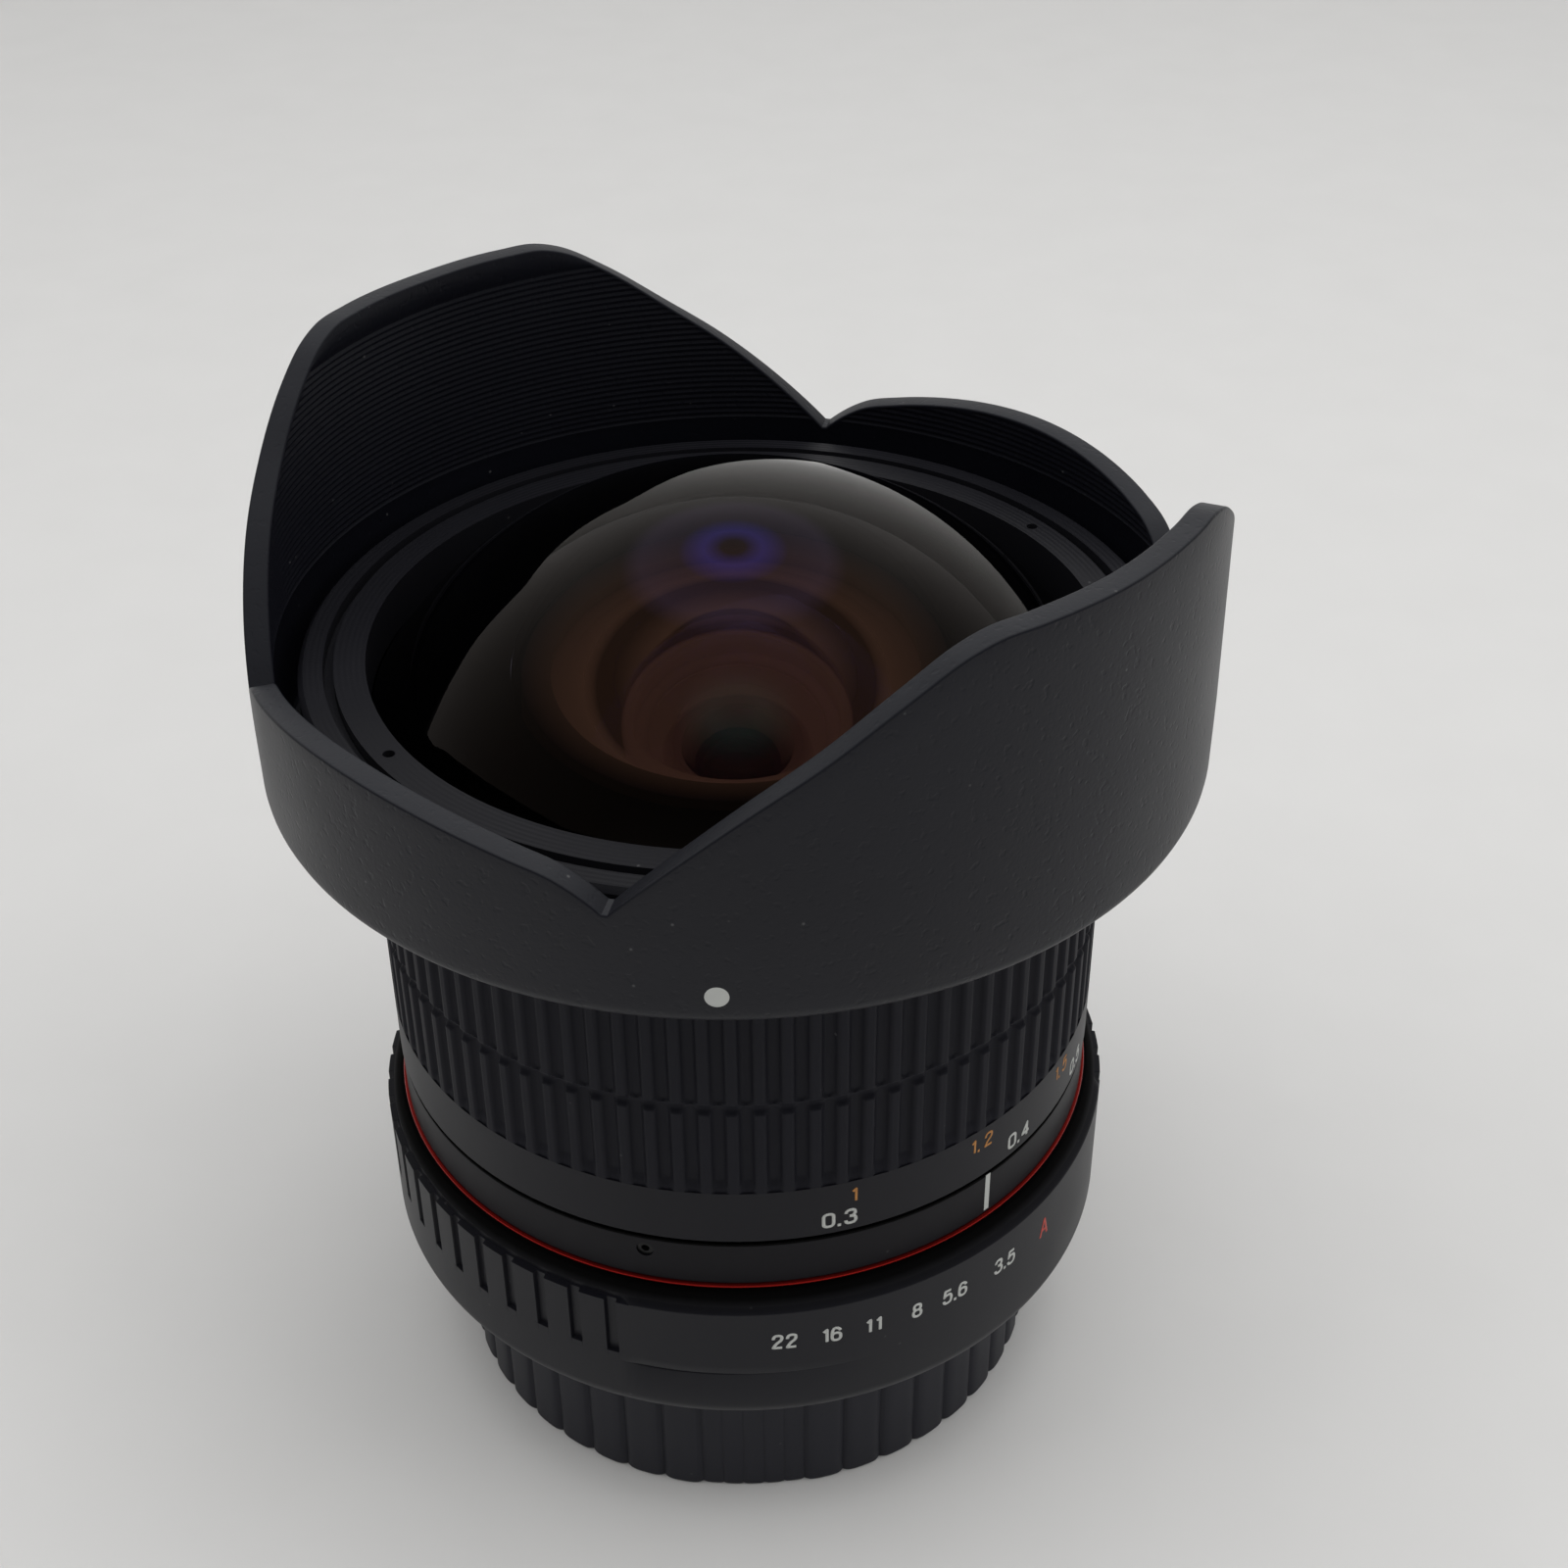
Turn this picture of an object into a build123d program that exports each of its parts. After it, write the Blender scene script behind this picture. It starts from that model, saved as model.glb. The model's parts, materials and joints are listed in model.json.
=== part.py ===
"""Manual fisheye lens with a petal hood and a rear cap, standing on the cap.

Millimetres. +Z is the optical axis, towards the front. The origin is the centre of
the cap's bottom. The camera side of the photograph is -Y, so an azimuth of -90
degrees faces it. At rest the lens is focused near 0.37 m, the aperture ring stands
at its widest stop and the hood and the cap are locked on their bayonets.
"""
from build123d import *
import math
import os

os.makedirs("parts", exist_ok=True)

# Fits
run_gap = 0.05  # radial gap of a running fit
seat_gap = 0.02  # gap between pieces that are fixed to each other
loose_gap = 0.2  # gap where pieces only pass each other
overrun = 1.0  # how far a cutter runs past what it cuts

# Travels, in degrees, and the focal length that sets the focusing travel
focus_to_near = 26.4
focus_to_far = 107.2
aperture_to_smallest = 36.7
aperture_to_auto = 10.4
blade_closing = 19.4
hood_unlock = 45.0
focal_length = 8.0
near_distance = 300.0

# Rear cap
cap_room = 5.4  # from the mount's claws out to the cap's wall
cap_height = 17.75
cap_base = 2.0
cap_wall = 2.0
cap_chamfer = 0.7
cap_flutes = 45
cap_flute_radius = 1.3
cap_flute_depth = 0.65
cap_flute_floor = 1.2
thumb_azimuth = -90.0
thumb_flutes = 6
thumb_flute_radius = 0.7
thumb_flute_depth = 0.35
thumb_share = 0.5  # pitch of the thumb flutes as a share of the other flutes' pitch

# Bayonet mount
mount_face_gap = 0.05
flange_reach = 0.8
flange_thickness = 2.2
neck_outer = 21.95
neck_wall = 1.45
neck_length = 4.6
claw_reach = 1.85
claw_thickness = 1.4
claw_angle = 40.0
claw_count = 3
cap_claw_angle = 36.0
cap_claw_thickness = 1.9
mount_screw_count = 5
mount_screw_inset = 5.9
mount_screw_azimuth = 54.0
screw_radius = 1.0
screw_head_radius = 1.85
screw_head_height = 0.85
screw_length = 4.8
lock_hole_radius = 1.5
lock_hole_inset = 4.7
lock_hole_azimuth = 0.0

# Rear barrel. Its radius sets the radii of all the rings round it.
barrel_radius = 33.4
barrel_wall = 2.2
barrel_floor = 3.0
barrel_hole_room = 0.6  # round the rear cell
ledge_width = 1.6
ledge_thickness = 1.5
ledge_rise = 1.3  # from the red ring's lower edge up to the ledge

# Aperture ring
aperture_wall = 4.05
aperture_lift = 1.3  # from the mount's face up to the ring's lower edge
aperture_height = 15.3
aperture_edge = 0.5  # chamfer of the lower edge
aperture_land = 0.2  # axial gap to the red ring
pad_depth = 0.65
pad_top_drop = 2.0  # from the ring's top down to the pads' upper ends
pad_length = 6.4
top_chamfer_height = 0.8
top_chamfer_width = 0.85
slot_pitch_count = 62
slot_width = 1.5
window_start = -110.0
window_end = -16.0
window_depth = 0.2
window_below_pads = 1.1

# Click stop and drive bar of the aperture ring
click_azimuth = 150.0
click_height = 8.0  # above the mount's face
click_ball_radius = 1.0
click_notch_radius = 0.6
click_notch_length = 2.4
spring_thickness = 0.25
spring_width = 2.0
spring_angle = 24.0
drive_azimuth = 90.0
drive_height = 11.5  # above the mount's face
drive_radius = 1.2
drive_place_share = 0.43  # how far the bar's post lies from the iris towards the carriage
drive_depth = 2.1  # how far the bar goes into the aperture ring
drive_slack = 0.8  # extra degrees at each end of the bar's windows

# Red ring and index ring
red_ring_width = 2.3
red_ring_thickness = 0.5
index_wall = 2.0
index_height = 5.05
grub_azimuth = -105.8
grub_drop = 1.65
grub_radius = 0.8
grub_length = 1.4
grub_socket_radius = 0.4
grub_socket_depth = 0.6

# Focus ring, grip, cam sleeve and guide tube
focus_gap = 0.5  # the dark line between the index ring and the focus ring
focus_wall = 3.0
focus_band = 6.05
focus_height = 27.35
grip_thickness = 1.6
grip_ribs = 90
grip_rib_share = 0.5
grip_depth = 0.85
grip_lower_row = 9.6
grip_row_gap = 0.6
focus_end_gap = 0.3
cam_wall = 1.65
cam_lift = 4.4
cam_height = 22.0
cam_screw_count = 3
cam_screw_azimuth = 30.0
cam_screw_drop = 3.0
cam_screw_radius = 0.7
guide_wall = 1.6
guide_step = 0.4  # from the rear barrel's bore in to the cam sleeve's bore
roller_height = 41.5  # above the mount's face
roller_radius = 1.5
roller_azimuths = (0.0, 180.0)
slot_slack = 0.5  # extra degrees at each end of a cam slot

# Front barrel
front_floor = 2.1
front_foot_inset = 0.5
front_wall = 1.5
shoulder_reach = 0.9
shoulder_height = 1.35
shoulder_drop = 9.95  # from the rim down to the shoulder that the hood sits on
rim_wall = 2.3
rim_bevel = 0.5
front_bore_reach = 1.6  # from the focus ring's radius out to the bore
groove_width = 0.9
groove_depth = 1.2
flare_height = 2.5
hood_lug_count = 3
hood_lug_azimuth = 30.0
hood_lug_reach = 1.3
hood_lug_angle = 26.0
hood_lug_thickness = 1.45

# Optical carriage and front cell
carriage_rise = 1.3  # from the front barrel's floor up to the carriage's flange
carriage_flange = 1.8
carriage_room = 0.6
carriage_wall = 1.95
carriage_skirt = 29.7
web_drop = 9.5  # from the carriage's top down to the web
web_thickness = 2.5
cell_base = 2.25
cell_base_width = 6.05
cell_screw_count = 4
cell_screw_inset = 4.05
cell_screw_azimuth = 45.0
cell_screw_length = 3.4
front_cell_rise = 3.85  # from the front element's edge up to the cell's top
front_ring_flange = 1.65
front_cell_wall = 1.6
front_ring_step = 0.8  # from the front element's edge out to the ring's skirt
front_ring_overlap = 0.45
spanner_hole_inset = 1.45
spanner_hole_radius = 0.55
spanner_hole_depth = 1.2
spanner_hole_azimuths = (-147.5, 32.5)

# Glass. A sag is the height of a curved face over its rim, upwards positive.
# The flat part of a hollow face, its land, lies between its bowl and its rim.
e1_edge = 3.0
e1_top_sag = 19.0
e1_bowl_room = 0.6  # radial room between its bowl and the middle cell's flange
e1_bowl_sag = 14.5
e2_step = 4.0  # how much larger its radius is than element 3's
e2_edge = 3.5
e2_top_sag = 5.9
e2_land = 4.5
e2_bowl_sag = 7.6
e3_step = 2.4  # how much larger its radius is than element 4's
e3_edge = 5.56
e3_top_sag = -0.76
e3_land = 2.0
e3_bowl_sag = 3.3
e4_radius = 8.6
e4_edge = 1.05
e4_top_sag = 2.2
e45_sag = -2.95
e5_edge = 4.55
e5_bottom_sag = -0.9
e6_radius = 6.7
e6_edge = 0.7
e6_top_sag = 0.76
e67_sag = -2.77
e7_edge = 3.3
e7_bottom_sag = -0.95
e8_step = 1.8  # how much larger its radius is than element 6's
e8_edge = 0.8
e8_top_sag = 1.08
e89_sag = -3.33
e9_edge = 3.9
e9_bottom_sag = -0.91
e10_step = 1.2  # how much larger its radius is than element 8's
e10_edge = 1.35
e10_top_sag = 1.88
e10_bottom_sag = -0.79

# Middle cell, from its foot up
middle_drop = 12.6  # from the web's top down to the cell's foot
middle_foot = 4.8  # from the cell's foot up to the seat of element 5
middle_throat = 5.6
middle_seat_land = 0.7
middle_seat_lip = 2.0
e3_rise = 2.9  # from the top of element 4's edge up to the seat of element 3
e2_rise = 1.34  # from the top of element 3's edge up to the seat of element 2
middle_wall = 2.2
middle_foot_wall = 2.45
middle_top_rise = 0.2
inner_ring_height = 1.0
inner_ring_overlap = 0.1
front_spacer_width = 1.4
doublet_ring_width = 1.0

# Iris
iris_wall = 0.9
iris_plate_thickness = 1.0
iris_base_thickness = 1.0
iris_base_hole = 5.4
stop_radius = 4.5
blade_count = 6
blade_thickness = 0.15
blade_pitch = 0.27
blade_lift = 0.1
blade_inner = 4.7
blade_outer = 9.9
blade_start_angle = -4.0
blade_tip_angle = 122.0
pivot_circle = 12.0
pivot_radius = 0.5
pin_angle = 15.0
pin_radius = 0.4
pin_slack = 0.04  # extra width of the cam slots, for their drawn arcs
tab_overlap = 0.4
tab_margin = 0.9
tab_room = 0.8
tab_angle = 5.0
cam_ring_width = 3.85
cam_ring_thickness = 1.1
cam_arm_width = 4.4
cam_arm_reach = 2.0  # how far the arm goes past the drive bar's axis

# Rear cell
rear_flange_thickness = 1.5
rear_cell_wall = 1.7
rear_seat_drop = 1.6  # from the flange's underside down to element 6's edge
rear_throat_land = 0.7
e8_drop = 3.8  # from element 7's edge down to element 8's edge
e10_drop = 4.6  # from element 9's edge down to element 10's edge
rear_tail = 3.8
rear_step = 1.9
rear_spacer_width = 0.8
rear_ring_width = 1.3
rear_ring_height = 2.0

# Hood
hood_seat_gap = 0.05
hood_lug_room = 0.75  # from the lugs out to the hood's wall
hood_wall = 2.2
hood_foot_inset = 1.55
hood_foot_rise = 1.6
hood_lean = 0.55  # how far the wall leans in at the top
hood_top_wall = 2.3
hood_straight = 8.0
hood_flange = 1.6
hood_notch_height = 10.4
small_petal_height = 5.8
large_petal_height = 22.3
large_petal_azimuth = 134.2
large_petal_half_angle = 58.0
hood_entry_slack = 2.0
hood_rib_start = 11.5
hood_rib_count = 22
hood_rib_pitch = 0.7
hood_rib_depth = 0.25
hood_rib_share = 0.6
dot_azimuth = -92.7
dot_height = 3.2
dot_radius = 1.0
dot_thickness = 0.25
dot_floor = 0.3
large_petal_shares = (
    (1.0, 0.0),
    (0.96, 0.08),
    (0.86, 0.263),
    (0.76, 0.427),
    (0.614, 0.634),
    (0.469, 0.84),
    (0.37, 0.955),
    (0.31, 0.992),
    (0.22, 1.0),
)
small_petal_shares = (
    (1.0, 0.0),
    (0.93, 0.24),
    (0.84, 0.47),
    (0.67, 0.67),
    (0.5, 0.81),
    (0.25, 0.95),
)

# Levels of the fixed stack, from the surface that the cap stands on
mount_face = cap_height + mount_face_gap
mount_top = mount_face + flange_thickness
barrel_bottom = mount_top + seat_gap
aperture_bottom = mount_face + aperture_lift
aperture_top = aperture_bottom + aperture_height
red_bottom = aperture_top + aperture_land
red_top = red_bottom + red_ring_thickness
index_bottom = red_top + seat_gap
index_top = index_bottom + index_height
focus_bottom = index_top + focus_gap
focus_band_top = focus_bottom + focus_band
focus_top = focus_bottom + focus_height
front_bottom = focus_top + focus_end_gap
front_floor_top = front_bottom + front_floor
ledge_top = red_bottom + ledge_rise

# Radii of the mount and the cap
neck_inner = neck_outer - neck_wall
claw_outer = neck_outer + claw_reach
cap_inner = claw_outer + cap_room
cap_radius = cap_inner + cap_wall
flange_radius = barrel_radius + flange_reach
mount_screw_circle = barrel_radius - mount_screw_inset
lock_hole_circle = flange_radius - lock_hole_inset

# Radii of the rings, from the rear barrel out and forwards
barrel_inner = barrel_radius - barrel_wall
ledge_inner = barrel_inner - ledge_width
aperture_bore = barrel_radius + run_gap
aperture_radius = aperture_bore + aperture_wall
red_ring_radius = barrel_radius + red_ring_width
index_radius = barrel_radius + index_wall
guide_outer = barrel_inner - guide_step
guide_inner = guide_outer - guide_wall
cam_inner = guide_outer + run_gap
cam_outer = cam_inner + cam_wall
focus_radius = cam_outer + focus_wall
front_foot_radius = focus_radius - front_foot_inset
front_bore = focus_radius + front_bore_reach
front_neck_radius = front_bore + front_wall
groove_radius = front_bore + groove_width
rim_radius = groove_radius + rim_wall
shoulder_radius = rim_radius + shoulder_reach

# Radii of the hood
hood_lug_outer = rim_radius + hood_lug_reach
hood_bore = hood_lug_outer + hood_lug_room
hood_radius = hood_bore + hood_wall
hood_foot_radius = hood_radius - hood_foot_inset
hood_top_bore = hood_bore - hood_lean
hood_top_radius = hood_top_bore + hood_top_wall

# Radii of the front glass and what holds it
front_cell_radius = front_bore - run_gap
front_ring_skirt_outer = front_cell_radius - front_cell_wall - run_gap
e1_radius = front_ring_skirt_outer - front_ring_step
front_ring_inner = e1_radius - front_ring_overlap
spanner_hole_circle = front_ring_inner + spanner_hole_inset
cell_base_inner = front_cell_radius - cell_base_width
cell_screw_circle = front_cell_radius - cell_screw_inset
carriage_flange_radius = front_bore - carriage_room

# Radii of the inner glass and what holds it
e3_radius = e4_radius + e3_step
e3_bowl_radius = e3_radius - e3_land
e2_radius = e3_radius + e2_step
e2_bowl_radius = e2_radius - e2_land
e8_radius = e6_radius + e8_step
e10_radius = e8_radius + e10_step
middle_seat_bore = e4_radius - middle_seat_land
middle_flange_radius = e2_radius + middle_wall
e1_bowl_radius = middle_flange_radius + e1_bowl_room
web_bore = e3_radius + middle_foot_wall + run_gap
inner_ring_bore = e2_radius - inner_ring_overlap
front_spacer_inner = e3_radius - front_spacer_width
doublet_ring_inner = e4_radius - doublet_ring_width
rear_cell_radius = e10_radius + rear_cell_wall
rear_throat = e6_radius - rear_throat_land
rear_spacer_1_inner = e6_radius - rear_spacer_width
rear_spacer_2_inner = e8_radius - rear_spacer_width
rear_ring_inner = e10_radius - rear_ring_width
barrel_hole = rear_cell_radius + barrel_hole_room

# Radii of the iris
iris_outer = pivot_circle + tab_margin + tab_room + iris_wall
tab_inner = blade_outer - tab_overlap
cam_ring_outer = iris_outer - iris_wall - run_gap
cam_ring_inner = cam_ring_outer - cam_ring_width

# Levels of the moving optics at rest
carriage_flange_bottom = front_floor_top + carriage_rise
carriage_top = carriage_flange_bottom + carriage_flange
carriage_bottom = carriage_flange_bottom - carriage_skirt
carriage_outer = guide_inner - run_gap
carriage_inner = carriage_outer - carriage_wall
drive_circle = iris_outer + drive_place_share * (carriage_inner - iris_outer)
web_top = carriage_top - web_drop
front_cell_bottom = carriage_top + seat_gap
e1_seat = front_cell_bottom + cell_base
e1_edge_top = e1_seat + e1_edge
roller_level = mount_face + roller_height


def turned(points):
    """A solid of revolution about the optical axis, from (radius, height) points."""
    outline = Polyline(*[(radius, 0, height) for radius, height in points], close=True)
    return revolve(make_face(outline), Axis.Z)


def ring(inner, outer, low, high):
    """A plain ring about the optical axis."""
    return turned([(inner, low), (outer, low), (outer, high), (inner, high)])


def disc(radius, low, high):
    """A plain disc on the optical axis."""
    return turned([(0, low), (radius, low), (radius, high), (0, high)])


def sector(inner, outer, low, high, start, end):
    """A part of a plain ring between two azimuths."""
    outline = Polyline((inner, 0, low), (outer, 0, low), (outer, 0, high), (inner, 0, high), close=True)
    return Rot(0, 0, start) * revolve(make_face(outline), Axis.Z, end - start)


def upright(radius, circle, azimuth, low, high):
    """A round rod parallel to the optical axis."""
    rod = extrude(Circle(radius), high - low)
    return Rot(0, 0, azimuth) * Pos(circle, 0, low) * rod


def radial(radius, azimuth, level, start, end):
    """A round rod that points away from the optical axis."""
    rod = extrude(Circle(radius), end - start)
    return Rot(0, 0, azimuth) * Pos(start, 0, level) * Rot(0, 90, 0) * rod


def around(count, first, shape):
    """Copies of a shape spread evenly round the optical axis."""
    step = 360 / count
    return [Rot(0, 0, first + index * step) * shape for index in range(count)]


def sphere_radius(rim, sag):
    """Radius of the sphere whose cap has this rim radius and this height."""
    return (rim ** 2 + sag ** 2) / (2 * abs(sag))


def face_height(radius, rim, rim_level, sag):
    """Height of a spherical face at a distance from the axis."""
    sphere = sphere_radius(rim, sag)
    drop = sphere - math.sqrt(sphere ** 2 - radius ** 2)
    return rim_level + sag - math.copysign(drop, sag)


def face_curve(rim, rim_level, sag):
    """Half section of a spherical face, from the axis to its rim."""
    sphere = sphere_radius(rim, sag)
    half_turn = math.atan2(abs(sag), rim)
    middle_radius = sphere * math.sin(half_turn)
    middle_drop = sphere * (1 - math.cos(half_turn))
    top = rim_level + sag
    middle = (middle_radius, 0, top - math.copysign(middle_drop, sag))
    return ThreePointArc((0, 0, top), middle, (rim, 0, rim_level))


def lens(radius, seat, edge, top_sag, bottom_rim, bottom_sag):
    """One glass element: a ground edge between two spherical faces."""
    rim_level = seat + edge
    top = face_curve(radius, rim_level, top_sag)
    bottom = face_curve(bottom_rim, seat, bottom_sag)
    corners = [(radius, 0, rim_level), (radius, 0, seat)]
    if bottom_rim < radius:
        corners.append((bottom_rim, 0, seat))
    edge_lines = Polyline(*corners)
    axis_line = Line((0, 0, seat + bottom_sag), (0, 0, rim_level + top_sag))
    section = make_face([top, bottom, axis_line, *edge_lines.edges()])
    return revolve(section, Axis.Z)


def screw(head_radius, head_height, shank_radius, length):
    """A countersunk screw, its head's face at the origin and its tip up +Z."""
    return turned([
        (0, 0),
        (head_radius, 0),
        (shank_radius, head_height),
        (shank_radius, length),
        (0, length),
    ])


def screw_pocket(length):
    """The countersunk hole for a screw."""
    grown_head = screw_head_radius + seat_gap
    grown_shank = screw_radius + seat_gap
    pocket = screw(grown_head, screw_head_height, grown_shank, length)
    return pocket + Pos(0, 0, -overrun) * extrude(Circle(grown_head), overrun)


def rear_cap():
    """Fluted cap with claws inside that hold the mount's claws."""
    body = turned([
        (0, 0),
        (cap_radius - cap_chamfer, 0),
        (cap_radius, cap_chamfer),
        (cap_radius, cap_height),
        (cap_inner, cap_height),
        (cap_inner, cap_base),
        (0, cap_base),
    ])
    pitch = 360 / cap_flutes
    thumb_half = thumb_flutes * pitch * thumb_share / 2
    flutes = []
    for index in range(cap_flutes):
        offset = (index + thumb_share) * pitch
        if min(offset, 360 - offset) > thumb_half:
            azimuth = thumb_azimuth + offset
            circle = cap_radius + cap_flute_radius - cap_flute_depth
            flutes.append(upright(cap_flute_radius, circle, azimuth, cap_flute_floor, cap_height + overrun))
    for index in range(thumb_flutes):
        azimuth = thumb_azimuth - thumb_half + (index + thumb_share) * pitch * thumb_share
        circle = cap_radius + thumb_flute_radius - thumb_flute_depth
        flutes.append(upright(thumb_flute_radius, circle, azimuth, cap_flute_floor, cap_height + overrun))
    body = body - flutes
    claw_low = mount_face - neck_length + claw_thickness + mount_face_gap
    claw_high = claw_low + cap_claw_thickness
    half = cap_claw_angle / 2
    claw = sector(neck_outer + run_gap + run_gap, cap_inner + run_gap, claw_low, claw_high, -half, half)
    return body + around(claw_count, 0, claw)


def mount_plate():
    """Bayonet flange, neck and three claws, with countersunk holes and the lock hole."""
    neck_bottom = mount_face - neck_length
    body = turned([
        (neck_inner, neck_bottom),
        (neck_outer, neck_bottom),
        (neck_outer, mount_face),
        (flange_radius, mount_face),
        (flange_radius, mount_top),
        (neck_inner, mount_top),
    ])
    half = claw_angle / 2
    claw = sector(neck_outer - run_gap, claw_outer, neck_bottom, neck_bottom + claw_thickness, -half, half)
    body = body + around(claw_count, 0, claw)
    pocket = Pos(mount_screw_circle, 0, mount_face) * screw_pocket(screw_length + seat_gap)
    body = body - around(mount_screw_count, mount_screw_azimuth, pocket)
    lock_top = mount_face + flange_thickness / 2
    lock = upright(lock_hole_radius, lock_hole_circle, lock_hole_azimuth, mount_face - overrun, lock_top)
    return body - lock


def mount_screws():
    """Countersunk screws that hold the mount plate to the rear barrel."""
    one = Pos(mount_screw_circle, 0, mount_face + seat_gap)
    one = one * screw(screw_head_radius, screw_head_height, screw_radius, screw_length - seat_gap)
    return Compound(children=around(mount_screw_count, mount_screw_azimuth, one))


def drive_window(inner, outer, low, high):
    """Room for the drive bar between two radii over the whole turn of the aperture ring."""
    half_bar = math.degrees(math.asin(drive_radius / inner)) + drive_slack
    start = drive_azimuth - aperture_to_auto - half_bar
    end = drive_azimuth + aperture_to_smallest + half_bar
    return sector(inner, outer, low, high, start, end)


def rear_barrel():
    """Fixed housing behind the aperture ring and the index ring."""
    floor_top = barrel_bottom + barrel_floor
    ledge_bottom = ledge_top - ledge_thickness
    body = turned([
        (barrel_hole, barrel_bottom),
        (barrel_radius, barrel_bottom),
        (barrel_radius, index_top),
        (barrel_inner, index_top),
        (barrel_inner, ledge_top),
        (ledge_inner, ledge_top),
        (ledge_inner, ledge_bottom),
        (barrel_inner, ledge_bottom),
        (barrel_inner, floor_top),
        (barrel_hole, floor_top),
    ])
    pocket = Pos(mount_screw_circle, 0, mount_face) * screw_pocket(screw_length + seat_gap)
    body = body - around(mount_screw_count, mount_screw_azimuth, pocket)
    click_level = mount_face + click_height
    click_hole = click_ball_radius + seat_gap
    cut_from = barrel_inner - overrun
    cut_to = barrel_radius + overrun
    body = body - radial(click_hole, click_azimuth, click_level, cut_from, cut_to)
    drive_level = mount_face + drive_height
    half = drive_radius + loose_gap
    window = drive_window(cut_from, cut_to, drive_level - half, drive_level + half)
    return body - window


def click_ball():
    """Ball that clicks into the aperture ring's notches."""
    centre = barrel_radius - run_gap - click_ball_radius
    ball = Pos(centre, 0, mount_face + click_height) * Sphere(click_ball_radius)
    return Rot(0, 0, click_azimuth) * ball


def click_spring():
    """Leaf spring behind the click ball, fixed inside the rear barrel."""
    level = mount_face + click_height
    outer = barrel_inner - run_gap
    low = level - spring_width / 2
    high = level + spring_width / 2
    start = click_azimuth - spring_angle / 2
    end = click_azimuth + spring_angle / 2
    return sector(outer - spring_thickness, outer, low, high, start, end)


def aperture_ring():
    """Turning ring with raised pads, a smooth window for the numbers and click notches."""
    pad_top = aperture_top - pad_top_drop
    pad_bottom = pad_top - pad_length
    floor_radius = aperture_radius - pad_depth
    chamfer_bottom = aperture_top - top_chamfer_height
    plate_room = flange_radius + loose_gap
    step_level = mount_top + run_gap
    body = turned([
        (plate_room, aperture_bottom),
        (aperture_radius - aperture_edge, aperture_bottom),
        (aperture_radius, aperture_bottom + aperture_edge),
        (aperture_radius, pad_top),
        (floor_radius, pad_top),
        (floor_radius, chamfer_bottom),
        (floor_radius - top_chamfer_width, aperture_top),
        (aperture_bore, aperture_top),
        (aperture_bore, step_level),
        (plate_room, step_level),
    ])
    slot = Pos(aperture_radius, 0, pad_bottom + (pad_length + overrun) / 2)
    slot = slot * Box(2 * pad_depth, slot_width, pad_length + overrun)
    step = 360 / slot_pitch_count
    count = math.floor((360 - (window_end - window_start)) / step)
    slots = [Rot(0, 0, window_start - (index + 0.5) * step) * slot for index in range(count)]
    window_floor = aperture_radius - window_depth
    window_bottom = pad_bottom - window_below_pads
    window = sector(window_floor, aperture_radius + overrun, window_bottom, pad_top, window_start, window_end)
    body = body - slots - window
    notch_level = mount_face + click_height
    for turn in aperture_stops():
        notch = upright(
            click_notch_radius,
            aperture_bore,
            click_azimuth - turn,
            notch_level - click_notch_length / 2,
            notch_level + click_notch_length / 2,
        )
        body = body - notch
    drive_level = mount_face + drive_height
    hole_end = aperture_bore + drive_depth
    return body - radial(drive_radius + seat_gap, drive_azimuth, drive_level, barrel_radius, hole_end)


def aperture_stops():
    """Turn of the ring at each stop, from the automatic setting to the smallest."""
    stop_shares = (0.0, 0.27, 0.45, 0.643, 0.815, 1.0)
    turns = [share * aperture_to_smallest for share in stop_shares]
    return [-aperture_to_auto, *turns]


def aperture_drive_bar():
    """Cranked bar from the aperture ring up to the iris cam ring."""
    level = mount_face + drive_height
    foot = radial(drive_radius, drive_azimuth, level, drive_circle, aperture_bore + drive_depth - seat_gap)
    post = upright(drive_radius, drive_circle, drive_azimuth, level - drive_radius, drive_top)
    return foot + post


def red_ring():
    """Thin trim ring under the index ring."""
    bevel = red_ring_thickness / 4
    return turned([
        (barrel_radius + seat_gap, red_bottom),
        (red_ring_radius - bevel, red_bottom),
        (red_ring_radius, red_bottom + bevel),
        (red_ring_radius, red_top - bevel),
        (red_ring_radius - bevel, red_top),
        (barrel_radius + seat_gap, red_top),
    ])


def index_ring():
    """Fixed ring that carries the index line."""
    body = ring(barrel_radius + seat_gap, index_radius, index_bottom, index_top)
    hole = radial(
        grub_radius + seat_gap,
        grub_azimuth,
        index_top - grub_drop,
        barrel_radius,
        index_radius + overrun,
    )
    return body - hole


def index_grub_screw():
    """Socket screw that locks the index ring."""
    level = index_top - grub_drop
    end = index_radius - loose_gap
    body = radial(grub_radius, grub_azimuth, level, end - grub_length, end)
    socket = radial(grub_socket_radius, grub_azimuth, level, end - grub_socket_depth, end + overrun)
    return body - socket


def guide_tube():
    """Fixed tube with a straight slot for each roller."""
    foot_radius = barrel_inner - seat_gap
    body = turned([
        (guide_inner, ledge_top + seat_gap),
        (foot_radius, ledge_top + seat_gap),
        (foot_radius, index_top),
        (guide_outer, index_top),
        (guide_outer, front_floor_top),
        (guide_inner, front_floor_top),
    ])
    half_height = roller_radius + focus_travel() + loose_gap
    slot = Pos((guide_inner + foot_radius) / 2, 0, roller_level)
    slot = slot * Box(guide_wall + 2 * overrun, 2 * (roller_radius + run_gap), 2 * half_height)
    for azimuth in roller_azimuths:
        body = body - Rot(0, 0, azimuth) * slot
    return body


def focus_travel():
    """Travel of the optics from far to near focus."""
    return focal_length ** 2 / (near_distance - focal_length)


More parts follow.
